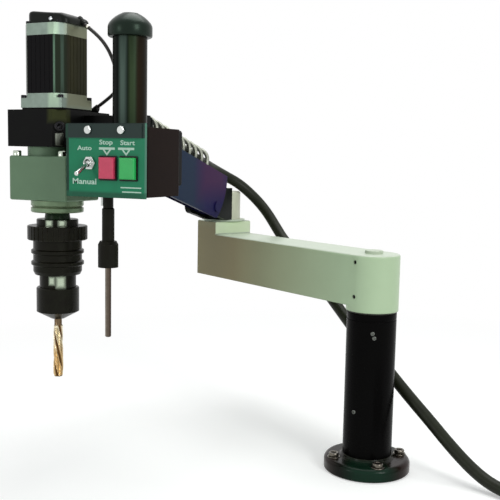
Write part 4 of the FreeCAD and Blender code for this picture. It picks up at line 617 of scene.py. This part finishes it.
cover_rings = ((0.0, 0.0, 0.0), (0.0, 1.0, -4.2), (0.35, 1.0, -2.2), (1.5, 1.0, -0.7), (3.4, 1.0, 0.0),
               (9.0, 1.0, 0.25), (15.0, 1.0, 0.35), (20.0, 1.0, 0.4))
points, faces = plan_shape((-354.1, -143.5), (29.0, 25.0), 9.0, 528.3, cover_rings,
                           lambda across: 15.2 - 7.6 * max(0.0, (across + 350.0) / 25.0) ** 1.3)
nylon = new_finish("moulded_black_nylon", "#151A15", "#0D100D", 16.0, 0.9, 0.04,
                   {"Roughness": 0.32, "IOR": 1.5, "Specular IOR Level": 0.12}, edge=0.5)
cover = mesh_piece("encoder_cover", points, faces, nylon, "head")
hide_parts("encoder_cap")
boot_way = (motor_cable_points[1] - motor_cable_points[0]).normalized()
boot_outline = ((5.4, -4.5), (5.2, -2.0), (4.4, -1.6), (4.6, 0.2), (3.8, 0.6), (4.0, 2.4), (3.2, 2.8),
                (3.1, 4.6), (2.3, 5.0))
turned("cover_boot", boot_outline, motor_cable_points[0], boot_way, nylon, "head", sides=36)
cover_screw_outline = ((2.4, -1.0), (2.4, 0.7), (1.9, 1.3), (0.9, 1.5))
cover_screw_place = Vector((-346.5, -168.5, 533.0)) * mm
turned("cover_screw", cover_screw_outline, cover_screw_place, Vector((0, -1, 0)), zinc, "head",
       sides=24)

# Gasket between the motor's flange and the block: a punched sheet of black fibre, 2 mm thick.
# Fibre sheet is dead matt and nearly black, with a torn looking edge grain.
fibre = new_finish("punched_black_fibre_sheet", "#191817", "#0F0E0E", 7.0, 0.8, 0.08,
                   {"Roughness": 0.7, "IOR": 1.5, "Specular IOR Level": 0.05}, edge=0.2)
gasket_rings = ((0.0, 0.0, 0.0), (0.0, 1.0, -0.1), (0.1, 1.0, 0.0))
points, faces = plan_shape((-358.1, -143.5), (29.8, 29.8), 4.0, 429.02, gasket_rings, lambda across: 1.94)
mesh_piece("motor_gasket", points, faces, fibre, "head")

# Motor flanges: die cast aluminium, machined on the joint faces and left bare.
# Bare cast alloy is pale grey, softly blurred, with a fine crystalline grain.
alloy = new_finish("bare_die_cast_aluminium", "#8A9A8F", "#69766D", 8.0, 1.0, 0.08,
                   {"Roughness": 0.38, "Metallic": 0.8}, edge=0.6, wear="#C9D6C6")
# Painted shade: the flanges' right faces are darker and browner. Painted highlight: a paler patch at their
# front corner
paint_zone(alloy, (-334.0, -163, 430), (-316, -105, 530), {"Base Color": "#767A64"}, edge=0.12)
paint_zone(alloy, (-346, -180, 430), (-332, -170, 530), {"Base Color": "#9DB49C"}, edge=0.4)
finish_node(alloy, "motor_flange", "motor_end_flange")

# Gearbox, spigot and bearing cap: machined housing sprayed grey green, the cap turned and sprayed.
# Sprayed enamel, half matt, with a fine grain of about 1.4 mm.
gear_enamel = new_finish("sprayed_grey_green_housing", "#6F8C6E", "#627E62", 35.0, 1.4, 0.08,
                         {"Roughness": 0.42, "IOR": 1.5, "Specular IOR Level": 0.3}, edge=0.8, wear="#9FB09C")
finish_node(gear_enamel, "gearbox", "gearbox_neck")
cap_enamel = new_finish("worn_green_bearing_cap", "#7B9672", "#62775A", 6.0, 1.2, 0.06,
                        {"Roughness": 0.3, "Metallic": 0.35}, edge=1.2, wear="#8F8468")
finish_node(cap_enamel, "bearing_cap")

# Spindle and quick change chuck: turned and blackened steel with a notched clutch ring. Painted highlights:
# bright bare metal spots on the neck ring and the adapter, where no flats are cut.
dark_green_nose = new_finish("sprayed_dark_green_spindle_nose", "#1F3D1D", "#122412", 8.0, 0.8, 0.03,
                             {"Roughness": 0.34, "IOR": 1.5, "Specular IOR Level": 0.12})
finish_node(dark_green_nose, "spindle_shaft")
chuck_black = new_finish("oil_blackened_turned_chuck", "#1D1F16", "#120E0C", 9.0, 0.7, 0.05,
                         {"Roughness": 0.3, "Metallic": 0.25, "Specular IOR Level": 0.1}, stretch=(1, 1, 5),
                         edge=0.5, wear="#4A4438")
# Painted highlights: bright bare metal spots on the neck ring and the adapter
highlight_metal_paint = {"Base Color": "#B4C2AC", "Roughness": 0.2, "Metallic": 1.0}
highlight_spots = ((25, 294.7, 3.4, 3.6, (0.247, -0.969)), (25, 294.7, 3.2, 3.4, (0.788, -0.617)),
         (22, 224.5, 4.4, 3.0, (0.32, -0.947)), (22, 223.0, 6.4, 4.0, (0.74, -0.672)))
for radius, level, half_height, half_width, (wayx, wayy) in highlight_spots:
    spot_x = head_axis.x * 1000 + radius * wayx
    spot_y = head_axis.y * 1000 + radius * wayy
    paint_zone(chuck_black, (spot_x - half_width, spot_y - half_width, level - half_height),
               (spot_x + half_width, spot_y + half_width, level + half_height), highlight_metal_paint, edge=0.45)
finish_node(chuck_black, "chuck_rings", "chuck_body", "release_collar")

# Tap: ground high speed steel with a gold coloured nitride coating, three spiral flutes and a fine thread on
# the lands. Coating is warm gold and wears off on the shank, and painted shade darkens the flutes brown.
tap_top = 172.0
tap_shoulder = 166.0
tap_low = 102.0
tap_sides = 96
tap_rings = 384
shank_radius = 4.6
shank_rise = 9.0
core_radius = 3.85
land_radius = 5.9
land_growth = 0.5
point_length = 3.4
point_drop = 1.4
flute_count = 3
flute_turn = 200
land_angle = 62
flute_angle = 360 / flute_count - land_angle
thread_pitch = 1.75
thread_depth = 0.85
neck_rise = 1.5
points = []
faces = []
for ring in range(tap_rings + 1):
    share = ring / tap_rings
    level = tap_shoulder - (tap_shoulder - tap_low) * share
    point_share = max(0.0, (tap_low + point_length - level) / point_length)
    outer = land_radius + land_growth * share - point_drop * point_share
    blend_in = min(1.0, (tap_shoulder - level) / 3.0)
    for side in range(tap_sides):
        angle = 2 * math.pi * side / tap_sides
        around = math.degrees(angle) - flute_turn * share
        within = around % (360 / flute_count)
        if within > land_angle:
            hollow = math.sin(math.pi * (within - land_angle) / flute_angle) ** 0.8
            radius = outer - (outer - core_radius) * hollow
        else:
            pitch_place = (level / thread_pitch + angle / (2 * math.pi)) % 1.0
            radius = outer - thread_depth * (1 - abs(2 * pitch_place - 1)) * blend_in
        radius = shank_radius + (radius - shank_radius) * min(1.0, (tap_shoulder + neck_rise - level) / 2.2)
        points.append(head_axis + Vector((radius * math.cos(angle), radius * math.sin(angle), level)) * mm)
for level in (tap_shoulder + neck_rise, tap_top + shank_rise):
    ring_points = []
    for side in range(tap_sides):
        angle = 2 * math.pi * side / tap_sides
        spot = Vector((shank_radius * math.cos(angle), shank_radius * math.sin(angle), level))
        ring_points.append(head_axis + spot * mm)
    points = ring_points + points
for ring in range(tap_rings + 2):
    for side in range(tap_sides):
        after = (side + 1) % tap_sides
        low = ring * tap_sides
        faces.append((low + side, low + tap_sides + side, low + tap_sides + after, low + after))
faces.append(tuple(range(tap_sides)))
faces.append(tuple(reversed(range((tap_rings + 2) * tap_sides, (tap_rings + 3) * tap_sides))))
gold = new_finish("gold_nitride_coated_steel", "#F4E0B0", "#A87C40", 2.2, 0.4, 0.02,
                  {"Roughness": 0.2, "Metallic": 1.0}, edge=0.05)
paint_zone(gold, (-368, -153.5, 140), (-348, -133.5, 186), {"Base Color": "#EFE4C6"}, edge=0.3)
paint_zone(gold, (-368, -153.5, 166), (-348, -133.5, 186), {"Base Color": "#8E8A78", "Roughness": 0.3},
           edge=0.1)
tree = gold.node_tree
spot = add(tree, "ShaderNodeTexCoord", {})
moved = add(tree, "ShaderNodeVectorMath", {"operation": "SUBTRACT", 1: tuple(head_axis)},
            {0: spot.outputs["Object"]})
flat = add(tree, "ShaderNodeVectorMath", {"operation": "MULTIPLY", 1: (1, 1, 0)}, {0: moved.outputs[0]})
depth = add(tree, "ShaderNodeVectorMath", {"operation": "LENGTH"}, {0: flat.outputs[0]})
hollow = add(tree, "ShaderNodeMapRange", {"From Min": 0.0057, "From Max": 0.0042},
             {0: depth.outputs["Value"]})
shader = tree.nodes["Principled BSDF"]
# Painted shade: the hollows of the flutes are darkened brown
flute_shade = add(tree, "ShaderNodeMix", {"data_type": "RGBA", 7: linear("#5A3C1A")},
            {0: hollow.outputs[0], 6: shader.inputs["Base Color"].links[0].from_socket})
tree.links.new(flute_shade.outputs[2], shader.inputs["Base Color"])
tap = mesh_piece("threaded_tap", points, faces, gold, "spindle")
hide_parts("tap")

# Control box and panel: folded steel cover in brown black enamel with a green printed front plate, whose top
# strip is dark. Painted shade darkens the plate's left and bottom edges, and a painted highlight makes its
# right edge paler. Button frames are black moulded plastic.
box_enamel = new_finish("brown_black_box_enamel", "#1B0F0B", "#120A07", 30.0, 1.0, 0.06,
                        {"Roughness": 0.42, "IOR": 1.5, "Specular IOR Level": 0.04}, edge=0.8, wear="#3E302A")
finish_node(box_enamel, "control_box")
panel_print = new_finish("green_printed_panel_film", "#1F8B62", "#1E7453", 25.0, 1.2, 0.02,
                         {"Roughness": 0.36, "IOR": 1.5, "Specular IOR Level": 0.2}, edge=0.5)
panel_x = head_axis.x * 1000
panel_y = head_axis.y * 1000
# Besides the dark top strip: painted shade along the left and bottom edges, and a painted highlight along the
# right edge
# Each zone: left and bottom, right and top, what changes, and how soft its border is
plate_strip_and_painted_edge_zones = (((50, 395.5), (170, 420), {"Base Color": "#1D2F2B", "Roughness": 0.42}, 0.03),
               ((50, 326), (62, 420), {"Base Color": "#14382A"}, 0.05),
               ((161.6, 326), (170, 420), {"Base Color": "#4E7F6C"}, 0.1),
               ((50, 326), (170, 336.5), {"Base Color": "#1C5A42"}, 0.3))
for (left, bottom), (right, top), values, edge in plate_strip_and_painted_edge_zones:
    paint_zone(panel_print, (panel_x + left, panel_y - 70, bottom), (panel_x + right, panel_y - 50, top),
               values, edge=edge)
button_level = 362.9
frame_half_width = 13.0
frame_half_height = 14.2
frame_black = {"Base Color": "#141312", "Roughness": 0.4}
for across in (115.2, 141.8):
    paint_zone(panel_print,
               (panel_x + across - frame_half_width, panel_y - 62, button_level - frame_half_height),
               (panel_x + across + frame_half_width, panel_y - 57.9, button_level + frame_half_height),
               frame_black, edge=0.01)
finish_node(panel_print, "control_panel")
chrome = new_finish("chromium_plated_brass", "#DADCDA", "#BCC2BE", 6.0, 0.6, 0.01,
                    {"Roughness": 0.14, "Metallic": 1.0}, edge=0.3)
finish_node(chrome, "toggle_nut", "toggle_lever", "panel_screws")
red_cap = new_finish("moulded_red_button_cap", "#E24A6C", "#C23656", 12.0, 0.8, 0.02,
                     {"Roughness": 0.3, "IOR": 1.49}, edge=1.2)
finish_node(red_cap, "stop_button")
green_cap = new_finish("moulded_green_button_cap", "#34C264", "#22A850", 12.0, 0.8, 0.02,
                       {"Roughness": 0.3, "IOR": 1.49}, edge=1.2)
finish_node(green_cap, "start_button")

# Panel lettering: white screen printed words over the switch and the buttons, with a line and a
# pointer for each button. Ink lies a twentieth of a millimetre proud and is slightly mottled.
ink = new_finish("white_screen_print_ink", "#CFE6D8", "#A9D2BD", 3.0, 0.6, 0.01,
                 {"Roughness": 0.5, "IOR": 1.5}, edge=0.05)
print_face = head_axis + Vector((0, -57.85, 0)) * mm


def printed(name, rings):
    # Flat print from outlines of across and level in millimetres, laid on the panel's face
    points = []
    faces = []
    for ring in rings:
        faces.append(tuple(range(len(points), len(points) + len(ring))))
        points.extend(print_face + Vector((u, 0, z)) * mm for u, z in ring)
    return mesh_piece(name, points, faces, ink, "head")


letter_squeeze = 0.74
for word, low_u, high_u, level in (("Auto", 73.6, 93.0, 384.3), ("Manual", 67.0, 99.0, 347.4),
                                   ("Stop", 103.0, 120.6, 390.8), ("Start", 130.4, 149.0, 390.4)):
    letters = bpy.data.curves.new("word", "FONT")
    letters.body = word
    letters.align_x = "CENTER"
    letters.align_y = "CENTER"
    letters.resolution_u = 3
    letters.offset = 0.022
    holder = bpy.data.objects.new("word", letters)
    scene.collection.objects.link(holder)
    bpy.context.view_layer.update()
    flat = bpy.data.meshes.new_from_object(holder.evaluated_get(bpy.context.evaluated_depsgraph_get()))
    bpy.data.objects.remove(holder)
    wide = max(vertex.co.x for vertex in flat.vertices) - min(vertex.co.x for vertex in flat.vertices)
    size = (high_u - low_u) / wide
    middle = (low_u + high_u) / 2
    rings = []
    for face in flat.polygons:
        corners = [flat.vertices[index].co for index in face.vertices]
        rings.append([(middle + corner.x * size, level + corner.y * size * letter_squeeze)
                      for corner in corners])
    printed("print_" + word.lower(), rings)
for word, middle in (("stop", 113.0), ("start", 138.0)):
    half = 10.4
    line = [(middle - half, 382.9), (middle + half, 382.9), (middle + half, 385.4), (middle - half, 385.4)]
    left_leg = [(middle - 5.6, 382.9), (middle, 376.4), (middle, 379.2), (middle - 3.2, 382.9)]
    right_leg = [(middle + 5.6, 382.9), (middle + 3.2, 382.9), (middle, 379.2), (middle, 376.4)]
    printed("print_pointer_" + word, [line, left_leg, right_leg])
rule_end = 157.5
rule_width = 1.3
rule_lines = []
for low, level in ((131.0, 341.6), (133.0, 336.9)):
    rule_lines.append([(low, level), (rule_end, level), (rule_end, level + rule_width),
                       (low, level + rule_width)])
printed("print_rules", rule_lines)

# Grip tube with its cap in black moulded plastic, and the depth rod with its guide and collar.
# Moulded plastic is nearly black with a soft highlight, the guide is blackened and the rod bare drawn steel.
# The grip's green tint, in its colour and in its specular tint, is a painted reflection
grip = new_finish("black_moulded_grip_cap", "#1A241E", "#111613", 22.0, 1.2, 0.05,
                  {"Roughness": 0.3, "IOR": 1.5, "Specular IOR Level": 0.2,
                   "Specular Tint": (0.62, 0.90, 0.70, 1.0)}, edge=0.8)
grip_tube = new_finish("black_moulded_grip_tube", "#0D110F", "#090B0A", 22.0, 1.2, 0.05,
                       {"Roughness": 0.3, "IOR": 1.5, "Specular IOR Level": 0.05,
                        "Specular Tint": (0.62, 0.90, 0.70, 1.0)})
# Painted highlights along the tube: two pale stripes, with a painted brown reflection beside them
for across, half, colour in ((-237.2, 3.8, "#52625A"), (-227.2, 3.2, "#384630"), (-222.4, 1.8, "#2A1F16")):
    paint_zone(grip_tube, (across - half, -200, 350), (across + half, -165.5, 512), {"Base Color": colour},
               edge=0.55)
finish_node(grip_tube, "handle_tube")
cap_outline = ((19.4, 0.0), (23.4, 0.1), (24.3, 0.7), (24.8, 2.2), (24.8, 10.8), (24.3, 13.0), (22.9, 15.6),
               (20.0, 18.8), (16.4, 21.8), (13.0, 24.0), (11.2, 24.9), (10.6, 24.7), (10.2, 25.3),
               (9.4, 25.9), (6.0, 26.2), (1.0, 26.2))
cap_place = Vector((-239.9, -164.5, 507.6)) * mm
grip_cap = turned("grip_cap", cap_outline, cap_place, up, grip, "head", sides=72)
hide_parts("handle_cap")
finish_node(chuck_black, "rod_guide", "rod_collar")
drawn_steel = new_finish("drawn_steel_rod", "#9A9083", "#5E574E", 5.0, 0.5, 0.02,
                         {"Roughness": 0.28, "Metallic": 0.9}, stretch=(1, 1, 0.08))
rod_x, rod_y = [(low + high) / 2 / mm for low, high in zip(*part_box("depth_rod"))][:2]
# Painted shade: the rod is darker brown on its +x side
paint_zone(drawn_steel, (rod_x + 0.4, rod_y - 4, 60), (rod_x + 8, rod_y + 9, 330), {"Base Color": "#4A3F36"},
           edge=0.35)
finish_node(drawn_steel, "depth_rod")
